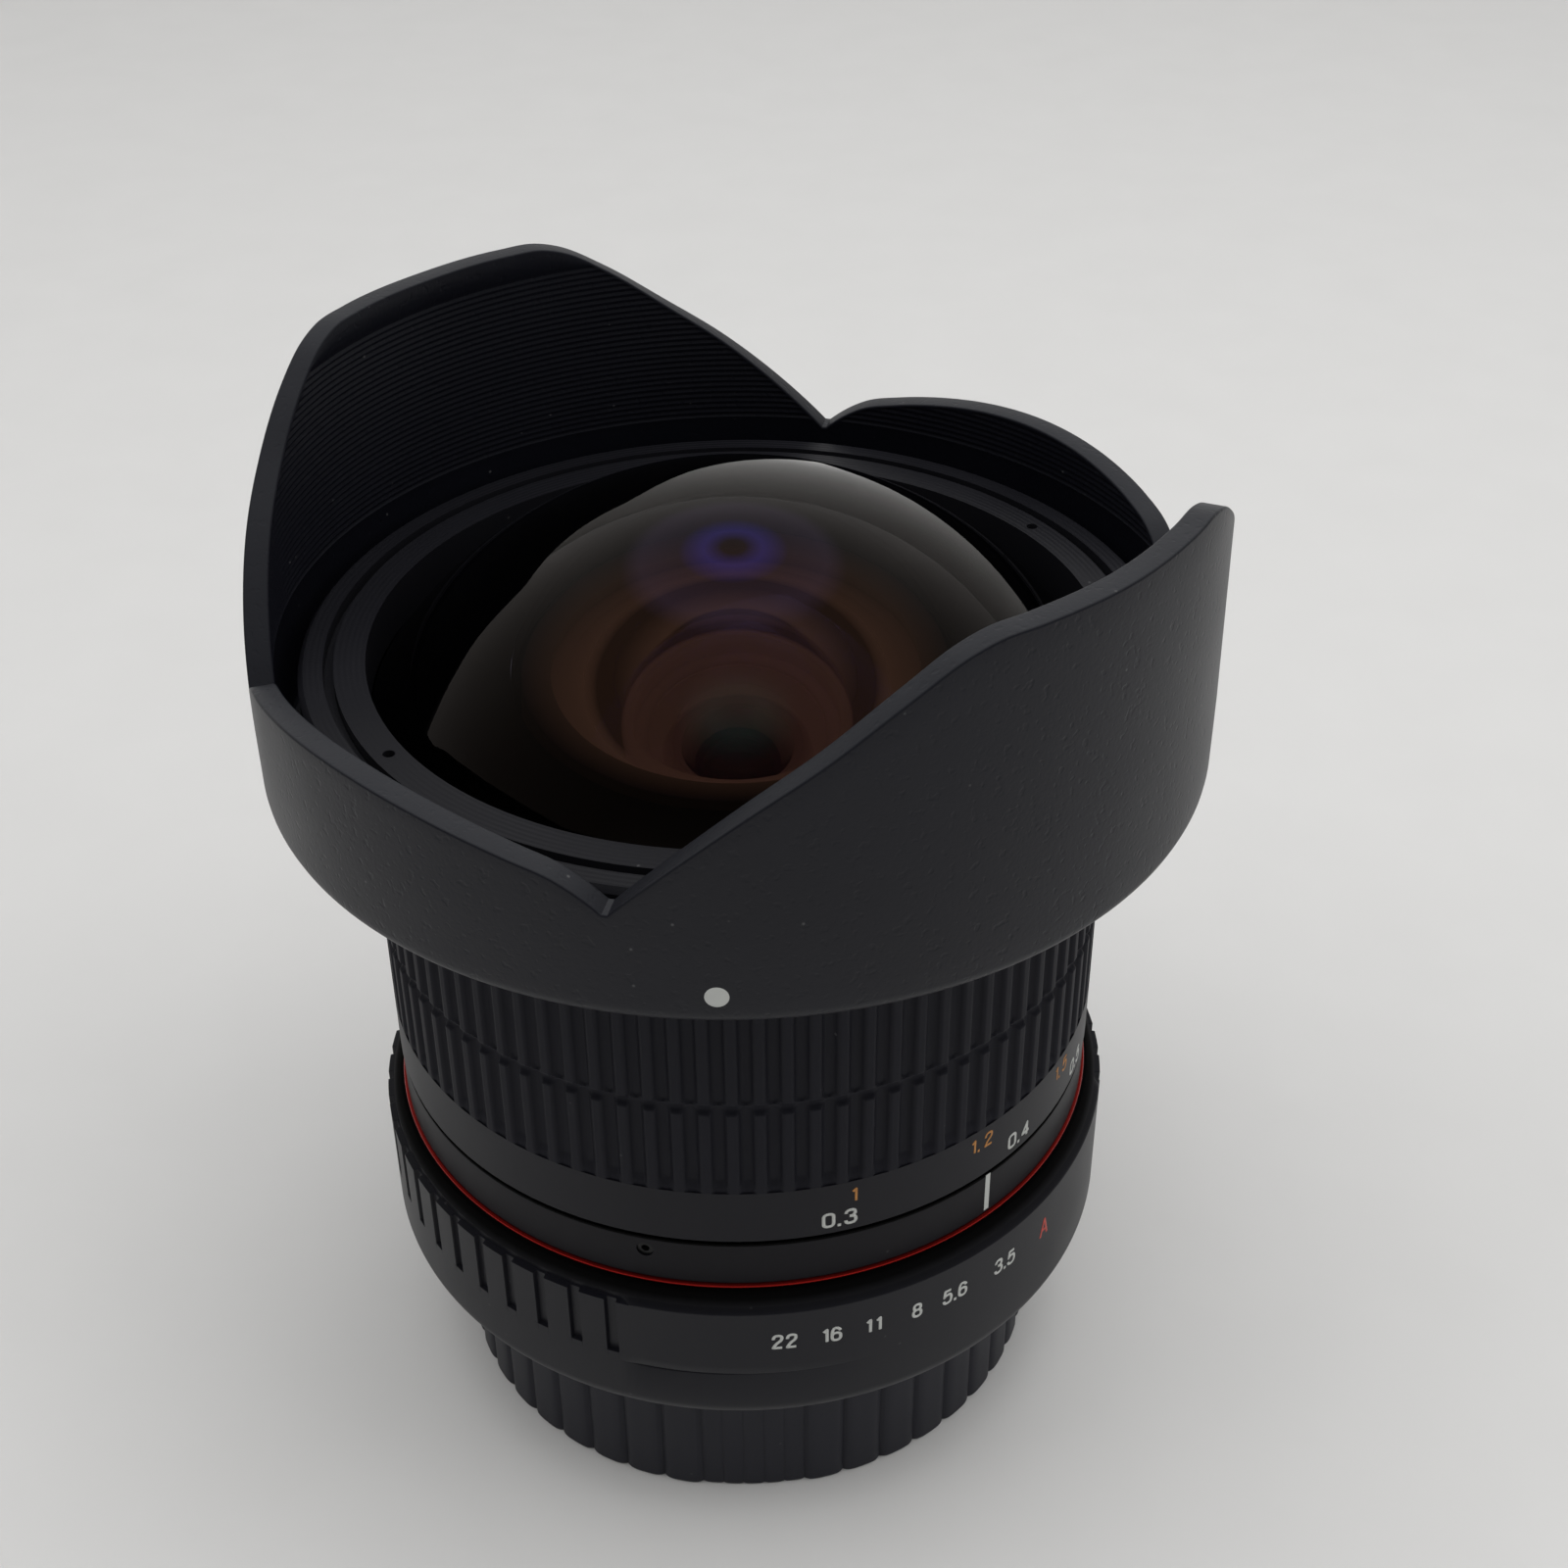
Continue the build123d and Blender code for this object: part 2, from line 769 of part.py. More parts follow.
def focus_cam():
    """Sleeve with an inclined slot for each roller, turned by the focus ring.

    The slot climbs so little that a tilted flat slot follows the screw line to
    about 0.01 mm.
    """
    low = focus_bottom + cam_lift
    body = ring(cam_inner, cam_outer, low, low + cam_height)
    turn = math.radians(focus_to_near + focus_to_far)
    rise_rate = focus_travel() / turn
    mean_radius = (cam_inner + cam_outer) / 2
    tilt = math.degrees(math.asin(rise_rate * turn / 2 / (mean_radius * math.sin(turn / 2))))
    middle_turn = (focus_to_far - focus_to_near) / 2
    middle_level = roller_level - rise_rate * math.radians(middle_turn)
    room = math.degrees(math.asin(roller_radius / cam_inner)) + slot_slack
    half_angle = (focus_to_near + focus_to_far) / 2 + room
    half_height = roller_radius + run_gap
    slot = sector(
        cam_inner - overrun,
        cam_outer + overrun,
        -half_height,
        half_height,
        -half_angle,
        half_angle,
    )
    for azimuth in roller_azimuths:
        place = Pos(0, 0, middle_level) * Rot(0, 0, azimuth + middle_turn) * Rot(-tilt, 0, 0)
        body = body - place * slot
    screw_level = low + cam_height - cam_screw_drop
    for hole in cam_screw_rods(cam_screw_radius + seat_gap, cam_inner - overrun, screw_level):
        body = body - hole
    return body


def cam_screw_rods(radius, start, level):
    """Rods at the places of the cam sleeve's grub screws."""
    end = focus_radius - grip_thickness - run_gap
    return around(cam_screw_count, cam_screw_azimuth, radial(radius, 0, level, start, end))


def cam_screws():
    """Grub screws that hold the cam sleeve inside the focus ring."""
    level = focus_bottom + cam_lift + cam_height - cam_screw_drop
    return Compound(children=cam_screw_rods(cam_screw_radius, cam_inner + run_gap, level))


def guide_rollers():
    """Two rollers fixed in the carriage that ride in the slots."""
    start = carriage_inner + run_gap
    end = cam_outer - loose_gap
    rollers = [radial(roller_radius, azimuth, roller_level, start, end) for azimuth in roller_azimuths]
    return Compound(children=rollers)


def focus_ring():
    """Sleeve with the smooth band for the distance scale."""
    sleeve_radius = focus_radius - grip_thickness - seat_gap
    body = turned([
        (cam_outer + seat_gap, focus_bottom),
        (focus_radius, focus_bottom),
        (focus_radius, focus_band_top),
        (sleeve_radius, focus_band_top),
        (sleeve_radius, focus_top),
        (cam_outer + seat_gap, focus_top),
    ])
    level = focus_bottom + cam_lift + cam_height - cam_screw_drop
    for hole in cam_screw_rods(cam_screw_radius + seat_gap, cam_outer - overrun, level):
        body = body - hole
    return body


def grip_section():
    """Toothed section of the grip, with flat ribs and flat grooves."""
    floor_radius = focus_radius - grip_depth
    points = []
    for index in range(grip_ribs):
        start = 2 * math.pi * index / grip_ribs
        end = start + 2 * math.pi * grip_rib_share / grip_ribs
        corners = ((floor_radius, start), (focus_radius, start), (focus_radius, end), (floor_radius, end))
        for radius, angle in corners:
            points.append((radius * math.cos(angle), radius * math.sin(angle)))
    return make_face(Polyline(*points, close=True))


def focus_grip():
    """Rubber sleeve with two rows of upright ribs."""
    low = focus_band_top + seat_gap
    inner = focus_radius - grip_thickness
    toothed = Pos(0, 0, low) * extrude(grip_section(), focus_top - low)
    body = toothed - disc(inner, low - overrun, focus_top + overrun)
    row_gap_low = low + grip_lower_row
    floor_radius = focus_radius - grip_depth
    row_gap = ring(floor_radius, focus_radius + overrun, row_gap_low, row_gap_low + grip_row_gap)
    return body - row_gap


def front_barrel():
    """Fixed front barrel: foot, flare, hood shoulder, rim and bayonet lugs."""
    shoulder_bottom = shoulder_top - shoulder_height
    body = turned([
        (guide_outer + seat_gap, front_bottom),
        (front_foot_radius, front_bottom),
        (front_neck_radius, shoulder_bottom - flare_height),
        (shoulder_radius, shoulder_bottom),
        (shoulder_radius, shoulder_top),
        (rim_radius, shoulder_top),
        (rim_radius, front_level - rim_bevel),
        (rim_radius - rim_bevel, front_level),
        (groove_radius, front_level),
        (groove_radius, front_level - groove_depth),
        (front_bore, front_level - groove_depth),
        (front_bore, front_floor_top),
        (guide_outer + seat_gap, front_floor_top),
    ])
    lug_low = hood_bottom + hood_flange + run_gap
    half = hood_lug_angle / 2
    lug = sector(rim_radius - run_gap, hood_lug_outer, lug_low, lug_low + hood_lug_thickness, -half, half)
    return body + around(hood_lug_count, hood_lug_azimuth, lug)


def carriage():
    """Sliding tube with the web that holds the inner cells and the front flange."""
    web_bottom = web_top - web_thickness
    body = turned([
        (carriage_inner, carriage_bottom),
        (carriage_outer, carriage_bottom),
        (carriage_outer, carriage_flange_bottom),
        (carriage_flange_radius, carriage_flange_bottom),
        (carriage_flange_radius, carriage_top),
        (carriage_inner, carriage_top),
        (carriage_inner, web_top),
        (web_bore, web_top),
        (web_bore, web_bottom),
        (carriage_inner, web_bottom),
    ])
    start = carriage_inner - overrun
    end = carriage_outer + overrun
    hole = roller_radius + seat_gap
    holes = [radial(hole, azimuth, roller_level, start, end) for azimuth in roller_azimuths]
    pocket = Pos(cell_screw_circle, 0, carriage_flange_bottom) * screw_pocket(cell_screw_length + seat_gap)
    pockets = around(cell_screw_count, cell_screw_azimuth, pocket)
    return body - [*holes, *pockets]


def front_cell():
    """Ring that seats the front element and takes the front retaining ring."""
    skirt_bore = front_ring_skirt_outer + run_gap
    body = turned([
        (cell_base_inner, front_cell_bottom),
        (front_cell_radius, front_cell_bottom),
        (front_cell_radius, front_cell_top),
        (skirt_bore, front_cell_top),
        (skirt_bore, e1_edge_top),
        (e1_radius + seat_gap, e1_edge_top),
        (e1_radius + seat_gap, e1_seat - seat_gap),
        (cell_base_inner, e1_seat - seat_gap),
    ])
    pocket = Pos(cell_screw_circle, 0, carriage_flange_bottom) * screw_pocket(cell_screw_length + seat_gap)
    return body - around(cell_screw_count, cell_screw_azimuth, pocket)


def front_cell_screws():
    """Countersunk screws from the carriage's flange into the front cell."""
    one = Pos(cell_screw_circle, 0, carriage_flange_bottom + seat_gap)
    one = one * screw(screw_head_radius, screw_head_height, screw_radius, cell_screw_length - seat_gap)
    return Compound(children=around(cell_screw_count, cell_screw_azimuth, one))


def front_ring():
    """Retaining ring round the front element, with two spanner holes."""
    body = turned([
        (front_ring_inner, front_ring_skirt_bottom),
        (front_ring_skirt_outer, front_ring_skirt_bottom),
        (front_ring_skirt_outer, front_cell_top + seat_gap),
        (front_cell_radius, front_cell_top + seat_gap),
        (front_cell_radius, front_level),
        (front_ring_inner, front_level),
    ])
    for azimuth in spanner_hole_azimuths:
        low = front_level - spanner_hole_depth
        body = body - upright(spanner_hole_radius, spanner_hole_circle, azimuth, low, front_level + overrun)
    return body


def middle_cell():
    """Stepped tube for elements 2 to 5, seated on the carriage's web."""
    foot_radius = e3_radius + middle_foot_wall
    e2_bore = e2_radius + seat_gap
    e3_bore = e3_radius + seat_gap
    e5_bore = e4_radius + seat_gap
    e5_lip = face_height(middle_seat_bore, e4_radius, e5_seat, e5_bottom_sag) - seat_gap
    return turned([
        (middle_throat, middle_bottom),
        (foot_radius, middle_bottom),
        (foot_radius, web_top + seat_gap),
        (middle_flange_radius, web_top + seat_gap),
        (middle_flange_radius, middle_top),
        (e2_bore, middle_top),
        (e2_bore, e2_seat - seat_gap),
        (e3_bore, e2_seat - seat_gap),
        (e3_bore, e3_seat - seat_gap),
        (e5_bore, e3_seat - seat_gap),
        (e5_bore, e5_lip),
        (middle_seat_bore, e5_lip),
        (middle_seat_bore, e5_lip - middle_seat_lip),
    ])


def inner_ring():
    """Ring that holds element 2 down in the middle cell."""
    low = middle_top + seat_gap
    return ring(inner_ring_bore, middle_flange_radius, low, low + inner_ring_height)


def front_spacer():
    """Spacer between elements 2 and 3."""
    low = e3_seat + e3_edge + seat_gap
    return ring(front_spacer_inner, e3_radius, low, e2_seat - seat_gap)


def doublet_ring():
    """Ring that holds the cemented pair of elements 4 and 5."""
    rise = face_height(doublet_ring_inner, e4_radius, e4_seat + e4_edge, e4_top_sag)
    return ring(doublet_ring_inner, e4_radius, rise + seat_gap, e3_seat - seat_gap)


def iris_plate():
    """Plate with the fixed stop and the blades' pivot holes."""
    body = ring(stop_radius, iris_outer, iris_plate_bottom, iris_plate_top)
    hole = upright(
        pivot_radius + run_gap,
        pivot_circle,
        0,
        iris_plate_bottom - overrun,
        iris_plate_top + overrun,
    )
    return body - around(blade_count, 0, hole)


def iris_housing():
    """Cup round the blades and the cam ring, with a window for the cam ring's arm."""
    inner = iris_outer - iris_wall
    base_top = iris_bottom + iris_base_thickness
    body = turned([
        (iris_base_hole, iris_bottom),
        (iris_outer, iris_bottom),
        (iris_outer, iris_plate_bottom - seat_gap),
        (inner, iris_plate_bottom - seat_gap),
        (inner, base_top),
        (iris_base_hole, base_top),
    ])
    half_arm = math.degrees(math.asin(cam_arm_width / 2 / inner)) + drive_slack
    start = drive_azimuth - aperture_to_auto - half_arm
    end = drive_azimuth + aperture_to_smallest + half_arm
    return body - sector(inner - run_gap, iris_outer + overrun, base_top, cam_ring_top + run_gap, start, end)


def pin_place(turn):
    """Where a blade's drive pin stands, in the cam ring's frame, at a turn of the ring."""
    closing = math.radians(turn * blade_closing / aperture_to_smallest)
    angle = math.radians(pin_angle)
    offset_x = pivot_circle * math.cos(angle) - pivot_circle
    offset_y = pivot_circle * math.sin(angle)
    x = pivot_circle + offset_x * math.cos(closing) - offset_y * math.sin(closing)
    y = offset_x * math.sin(closing) + offset_y * math.cos(closing)
    back = math.radians(-turn)
    return (x * math.cos(back) - y * math.sin(back), x * math.sin(back) + y * math.cos(back))


def iris_cam_ring():
    """Ring with a cam slot for each blade and a forked arm for the drive bar."""
    body = ring(cam_ring_inner, cam_ring_outer, cam_ring_bottom, cam_ring_top)
    first = pin_place(-aperture_to_auto)
    middle = pin_place((aperture_to_smallest - aperture_to_auto) / 2)
    last = pin_place(aperture_to_smallest)
    width = 2 * (pin_radius + run_gap + pin_slack)
    path = SlotArc(ThreePointArc(first, middle, last), width)
    slot = Pos(0, 0, cam_ring_bottom - overrun) * extrude(path, cam_ring_thickness + 2 * overrun)
    body = body - around(blade_count, 0, slot)
    reach = drive_circle + cam_arm_reach
    root = cam_ring_outer - iris_wall
    arm = Pos((root + reach) / 2, 0, (cam_ring_bottom + cam_ring_top) / 2)
    arm = arm * Box(reach - root, cam_arm_width, cam_ring_thickness)
    fork_width = 2 * (drive_radius + run_gap)
    fork_start = drive_circle - drive_radius - run_gap
    fork = Pos(fork_start + reach / 2, 0, (cam_ring_bottom + cam_ring_top) / 2)
    fork = fork * Box(reach, fork_width, cam_ring_thickness + overrun)
    return body + Rot(0, 0, drive_azimuth) * (arm - fork)


def iris_blade(index):
    """One crescent blade with its pivot above it and its drive pin below it."""
    low = blades_bottom + index * blade_pitch
    high = low + blade_thickness
    band = sector(blade_inner, blade_outer, low, high, blade_start_angle, blade_tip_angle)
    tab = sector(tab_inner, pivot_circle + tab_margin, low, high, -tab_angle, pin_angle + tab_angle)
    pivot = upright(pivot_radius, pivot_circle, 0, low, iris_plate_top - run_gap)
    pin = upright(pin_radius, pivot_circle, pin_angle, cam_ring_bottom + run_gap, high)
    return Rot(0, 0, index * 360 / blade_count) * (band + tab + pivot + pin)


def rear_cell():
    """Stepped tube for elements 6 to 10, loaded from the rear."""
    e6_bore = e6_radius + seat_gap
    e8_bore = e8_radius + seat_gap
    e10_bore = e10_radius + seat_gap
    flange_bottom = rear_cell_top - rear_flange_thickness
    e6_ledge = face_height(rear_throat, e6_radius, e6_top, e6_top_sag) + seat_gap
    e8_ledge = face_height(e6_bore, e8_radius, e8_top, e8_top_sag) + seat_gap
    return turned([
        (e10_bore, rear_cell_bottom),
        (rear_cell_radius, rear_cell_bottom),
        (rear_cell_radius, flange_bottom),
        (iris_outer, flange_bottom),
        (iris_outer, rear_cell_top),
        (rear_throat, rear_cell_top),
        (rear_throat, e6_ledge),
        (e6_bore, e6_ledge),
        (e6_bore, e8_ledge),
        (e8_bore, e8_ledge),
        (e8_bore, e10_top + rear_step),
        (e10_bore, e10_top + rear_step),
    ])


def rear_spacer_1():
    """Spacer between elements 7 and 8."""
    low = face_height(rear_spacer_1_inner, e8_radius, e8_top, e8_top_sag) + seat_gap
    high = face_height(rear_spacer_1_inner, e6_radius, e7_bottom, e7_bottom_sag) - seat_gap
    return ring(rear_spacer_1_inner, e6_radius, low, high)


def rear_spacer_2():
    """Spacer between elements 9 and 10."""
    low = face_height(rear_spacer_2_inner, e10_radius, e10_top, e10_top_sag) + seat_gap
    high = face_height(rear_spacer_2_inner, e8_radius, e9_bottom, e9_bottom_sag) - seat_gap
    return ring(rear_spacer_2_inner, e8_radius, low, high)


def rear_ring():
    """Ring that holds element 10 in the rear cell."""
    high = face_height(rear_ring_inner, e10_radius, e10_bottom, e10_bottom_sag) - seat_gap
    return ring(rear_ring_inner, e10_radius, high - rear_ring_height, high)


def petal_cutter(azimuth, half_angle, height, shares):
    """Everything above one petal's rim, between its two notches."""
    inner_points = []
    outer_points = []
    left = [(-angle_share, height_share) for angle_share, height_share in shares]
    right = [(angle_share, height_share) for angle_share, height_share in reversed(shares)]
    for angle_share, height_share in [*left, (0.0, 1.0), *right]:
        angle = math.radians(azimuth + angle_share * half_angle)
        level = notch_level + height_share * height
        lines = ((inner_points, hood_bore - hood_wall), (outer_points, hood_radius + hood_wall))
        for points, radius in lines:
            points.append(Vector(radius * math.cos(angle), radius * math.sin(angle), level))
    rim = Face.make_surface_from_curves(Edge.make_spline(inner_points), Edge.make_spline(outer_points))
    return Solid.extrude(rim, Vector(0, 0, large_petal_height + overrun))


def hood_inner_line():
    """Inner wall of the hood, from its foot up, with the fine baffle ribs."""
    wall_top = notch_level + large_petal_height + overrun
    lean = (hood_bore - hood_top_bore) / (wall_top - hood_bottom)
    points = [(hood_bore, hood_bottom + hood_flange)]
    for index in range(hood_rib_count):
        low = hood_bottom + hood_rib_start + index * hood_rib_pitch
        high = low + hood_rib_pitch * hood_rib_share
        radius = hood_bore - lean * (low - hood_bottom)
        points.append((radius, low))
        points.append((radius + hood_rib_depth, low))
        points.append((radius + hood_rib_depth, high))
        points.append((radius, high))
    points.append((hood_top_bore, wall_top))
    return points


def lens_hood():
    """Petal hood with a slotted flange that turns under the front barrel's lugs."""
    flange_bore = rim_radius + run_gap
    wall_top = notch_level + large_petal_height + overrun
    outside = [
        (hood_top_radius, wall_top),
        (hood_radius, hood_bottom + hood_straight),
        (hood_radius, hood_bottom + hood_foot_rise),
        (hood_foot_radius, hood_bottom),
        (flange_bore, hood_bottom),
        (flange_bore, hood_bottom + hood_flange),
    ]
    body = turned([*hood_inner_line(), *outside])
    half = hood_lug_angle / 2 + hood_entry_slack
    entry = sector(
        flange_bore - run_gap,
        hood_lug_outer + loose_gap,
        hood_bottom - overrun,
        hood_bottom + hood_flange + overrun / 2,
        -half,
        half,
    )
    body = body - around(hood_lug_count, hood_lug_azimuth - hood_unlock, entry)
    small_half_angle = 90 - large_petal_half_angle
    for turn in (0, 180):
        large = large_petal_azimuth + turn
        body = body - petal_cutter(large, large_petal_half_angle, large_petal_height, large_petal_shares)
        body = body - petal_cutter(large + 90, small_half_angle, small_petal_height, small_petal_shares)
    recess = radial(dot_radius, dot_azimuth, dot_level, hood_radius - dot_floor, hood_radius + overrun)
    return body - recess


def hood_dot():
    """White paint dot in the hood's recess, for lining up the bayonet."""
    start = hood_radius - dot_floor
    return radial(dot_radius - seat_gap, dot_azimuth, dot_level, start, start + dot_thickness)


def elements():
    """The ten glass elements, front to rear, each with its node name."""
    return {
        "element_01": lens(e1_radius, e1_seat, e1_edge, e1_top_sag, e1_bowl_radius, e1_bowl_sag),
        "element_02": lens(e2_radius, e2_seat, e2_edge, e2_top_sag, e2_bowl_radius, e2_bowl_sag),
        "element_03": lens(e3_radius, e3_seat, e3_edge, e3_top_sag, e3_bowl_radius, e3_bowl_sag),
        "element_04": lens(e4_radius, e4_seat, e4_edge, e4_top_sag, e4_radius, e45_sag),
        "element_05": lens(e4_radius, e5_seat, e5_edge, e45_sag, e4_radius, e5_bottom_sag),
        "element_06": lens(e6_radius, e6_bottom, e6_edge, e6_top_sag, e6_radius, e67_sag),
        "element_07": lens(e6_radius, e7_bottom, e7_edge, e67_sag, e6_radius, e7_bottom_sag),
        "element_08": lens(e8_radius, e8_bottom, e8_edge, e8_top_sag, e8_radius, e89_sag),
        "element_09": lens(e8_radius, e9_bottom, e9_edge, e89_sag, e8_radius, e9_bottom_sag),
        "element_10": lens(e10_radius, e10_bottom, e10_edge, e10_top_sag, e10_radius, e10_bottom_sag),
    }


# Levels of the front: the ring over the dome's rim, the rim of the barrel and the hood
front_ring_skirt_bottom = face_height(front_ring_inner, e1_radius, e1_edge_top, e1_top_sag) + seat_gap
front_cell_top = e1_edge_top + front_cell_rise
front_level = front_cell_top + front_ring_flange
shoulder_top = front_level - shoulder_drop
hood_bottom = shoulder_top + hood_seat_gap
notch_level = hood_bottom + hood_notch_height
dot_level = hood_bottom + dot_height

# Levels of the inner optics, from the web: middle cell, iris, rear cell
middle_bottom = web_top - middle_drop
e5_seat = middle_bottom + middle_foot
e4_seat = e5_seat + e5_edge + seat_gap
e3_seat = e4_seat + e4_edge + e3_rise
e2_seat = e3_seat + e3_edge + e2_rise
middle_top = e2_seat + e2_edge + middle_top_rise
iris_plate_top = middle_bottom - seat_gap
iris_plate_bottom = iris_plate_top - iris_plate_thickness
blades_bottom = iris_plate_bottom - blade_lift - blade_count * blade_pitch
cam_ring_top = blades_bottom - blade_lift
cam_ring_bottom = cam_ring_top - cam_ring_thickness
iris_bottom = cam_ring_bottom - run_gap - iris_base_thickness
drive_top = cam_ring_top + loose_gap
rear_cell_top = iris_bottom - seat_gap
e6_top = rear_cell_top - rear_flange_thickness - rear_seat_drop
e6_bottom = e6_top - e6_edge
e7_bottom = e6_bottom - seat_gap - e7_edge
e8_top = e7_bottom - e8_drop
e8_bottom = e8_top - e8_edge
e9_bottom = e8_bottom - seat_gap - e9_edge
e10_top = e9_bottom - e10_drop
e10_bottom = e10_top - e10_edge
rear_cell_bottom = e10_bottom - rear_tail

pieces = {
    "rear_cap": rear_cap(),
    "mount_plate": mount_plate(),
    "mount_screws": mount_screws(),
    "rear_barrel": rear_barrel(),
    "click_ball": click_ball(),
    "click_spring": click_spring(),
    "aperture_ring": aperture_ring(),
    "aperture_drive_bar": aperture_drive_bar(),
    "red_ring": red_ring(),
    "index_ring": index_ring(),
    "index_grub_screw": index_grub_screw(),
    "guide_tube": guide_tube(),
    "focus_cam": focus_cam(),
    "cam_screws": cam_screws(),
    "guide_rollers": guide_rollers(),
    "focus_ring": focus_ring(),
    "focus_grip": focus_grip(),
    "front_barrel": front_barrel(),
    "carriage": carriage(),
    "front_cell": front_cell(),
    "front_cell_screws": front_cell_screws(),
    "front_ring": front_ring(),
    "middle_cell": middle_cell(),
    "inner_ring": inner_ring(),
    "front_spacer": front_spacer(),
    "doublet_ring": doublet_ring(),
    "iris_plate": iris_plate(),
    "iris_housing": iris_housing(),
    "iris_cam_ring": iris_cam_ring(),
    "rear_cell": rear_cell(),
    "rear_spacer_1": rear_spacer_1(),
    "rear_spacer_2": rear_spacer_2(),
    "rear_ring": rear_ring(),
    "lens_hood": lens_hood(),
    "hood_dot": hood_dot(),
    **elements(),
    **{f"iris_blade_{index + 1}": iris_blade(index) for index in range(blade_count)},
}

for name, piece in pieces.items():
    export_step(piece, f"parts/{name}.step")
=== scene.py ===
# %% [markdown]
# A fisheye lens that stands on its rear cap, with a petal hood over a domed front glass.
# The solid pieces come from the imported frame: rings, cells, screws, iris. This script gives
# every one of them a finish, and draws anew the pieces whose form needs more than a solid gives:
# the hood, the rubber grip, the rear cap, the aperture ring, the red ring and the glass. It also
# adds the painted scales.

# %% Frame and units
import bmesh
import bpy
import json
import math
import numpy as np
from mathutils import Matrix, Vector


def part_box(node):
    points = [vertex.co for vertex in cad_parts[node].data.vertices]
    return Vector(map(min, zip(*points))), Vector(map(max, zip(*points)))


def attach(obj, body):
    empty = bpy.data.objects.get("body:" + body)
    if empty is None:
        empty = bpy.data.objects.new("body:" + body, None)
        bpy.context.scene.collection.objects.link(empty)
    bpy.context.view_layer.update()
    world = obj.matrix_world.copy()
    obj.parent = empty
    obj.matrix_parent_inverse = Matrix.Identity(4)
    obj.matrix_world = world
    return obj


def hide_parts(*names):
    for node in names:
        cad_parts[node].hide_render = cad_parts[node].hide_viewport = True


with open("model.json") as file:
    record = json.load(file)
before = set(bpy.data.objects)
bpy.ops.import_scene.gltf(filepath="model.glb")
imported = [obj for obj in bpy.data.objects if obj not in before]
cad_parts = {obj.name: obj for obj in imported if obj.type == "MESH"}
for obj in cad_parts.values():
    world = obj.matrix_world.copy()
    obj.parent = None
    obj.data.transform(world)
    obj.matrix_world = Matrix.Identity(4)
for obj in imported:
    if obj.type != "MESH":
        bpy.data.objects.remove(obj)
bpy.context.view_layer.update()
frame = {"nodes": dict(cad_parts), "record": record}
nodes = frame["nodes"]
mm = 0.001

# %% [markdown]
# The camera comes first, because every later choice is judged through it. Its place was
# found by fitting the rings of the lens, which are circles of known size, to the ellipses
# that they make in the photograph: about 265 mm away, looking 35 degrees down.

# %% Camera
camera_back = 180.66 * mm
camera_height = 193.33 * mm
camera_pitch = math.radians(35.0)
camera_yaw = math.radians(1.404)
camera_roll = math.radians(-0.48)
image_size = 1600
focal_pixels = 2303.96
sensor_width = 36.0


def linked(name, data):
    """A new object of the scene."""
    made = bpy.data.objects.new(name, data)
    bpy.context.scene.collection.objects.link(made)
    return made


def camera_matrix():
    """World matrix of the camera, from the direction that it looks in and its roll."""
    forward = Vector((
        math.sin(camera_yaw) * math.cos(camera_pitch),
        math.cos(camera_yaw) * math.cos(camera_pitch),
        -math.sin(camera_pitch),
    ))
    right = forward.cross(Vector((0, 0, 1))).normalized()
    up = right.cross(forward)
    x_axis = right * math.cos(camera_roll) + up * math.sin(camera_roll)
    y_axis = up * math.cos(camera_roll) - right * math.sin(camera_roll)
    place = Vector((0, -camera_back, camera_height))
    matrix = Matrix((x_axis, y_axis, -forward)).transposed().to_4x4()
    matrix.translation = place
    return matrix


camera_data = bpy.data.cameras.new("camera")
camera_data.sensor_width = sensor_width
camera_data.lens = focal_pixels / image_size * sensor_width
camera_data.clip_start = 1 * mm
camera = linked("camera", camera_data)
camera.matrix_world = camera_matrix()
bpy.context.scene.camera = camera
print("camera lens", round(camera_data.lens, 2))

# %% [markdown]
# Every new surface is a grid: two parameters, one array of points. A ring-shaped piece closes
# in both directions, like a torus, which makes it a watertight shell with no caps to sew on.

# %% Grids
def grid_faces(rows, columns, close_rows, close_columns):
    """Corner numbers of the quads between neighbouring rows and columns."""
    row = np.arange(rows if close_rows else rows - 1)
    column = np.arange(columns if close_columns else columns - 1)
    row, column = np.meshgrid(row, column, indexing="ij")
    next_row = (row + 1) % rows
    next_column = (column + 1) % columns
    corners = [
        row * columns + column,
        row * columns + next_column,
        next_row * columns + next_column,
        next_row * columns + column,
    ]
    return np.stack([corner.ravel() for corner in corners], axis=1)


def piece_from_grid(name, points, close_rows=False, close_columns=False, smooth_angle=35, poles=False):
    """A mesh object from an array of points, rows by columns by three. Poles are merged to a point."""
    rows, columns = points.shape[:2]
    mesh = bpy.data.meshes.new(name)
    faces = grid_faces(rows, columns, close_rows, close_columns)
    mesh.vertices.add(rows * columns)
    mesh.vertices.foreach_set("co", points.reshape(-1).astype(np.float32))
    mesh.loops.add(faces.size)
    mesh.loops.foreach_set("vertex_index", faces.reshape(-1).astype(np.int32))
    mesh.polygons.add(len(faces))
    mesh.polygons.foreach_set("loop_start", np.arange(0, faces.size, 4, dtype=np.int32))
    mesh.update(calc_edges=True)
    if poles:
        loose = bmesh.new()
        loose.from_mesh(mesh)
        bmesh.ops.remove_doubles(loose, verts=loose.verts, dist=0.001 * mm)
        loose.to_mesh(mesh)
        loose.free()
    mesh.validate()
    piece = linked(name, mesh)
    mesh.shade_smooth()
    mesh.set_sharp_from_angle(angle=math.radians(smooth_angle))
    print(name, "faces", len(mesh.polygons))
    return piece


def whole_turn(count):
    """Azimuths in radians, in even steps all the way round."""
    return np.arange(count) * 2 * math.pi / count


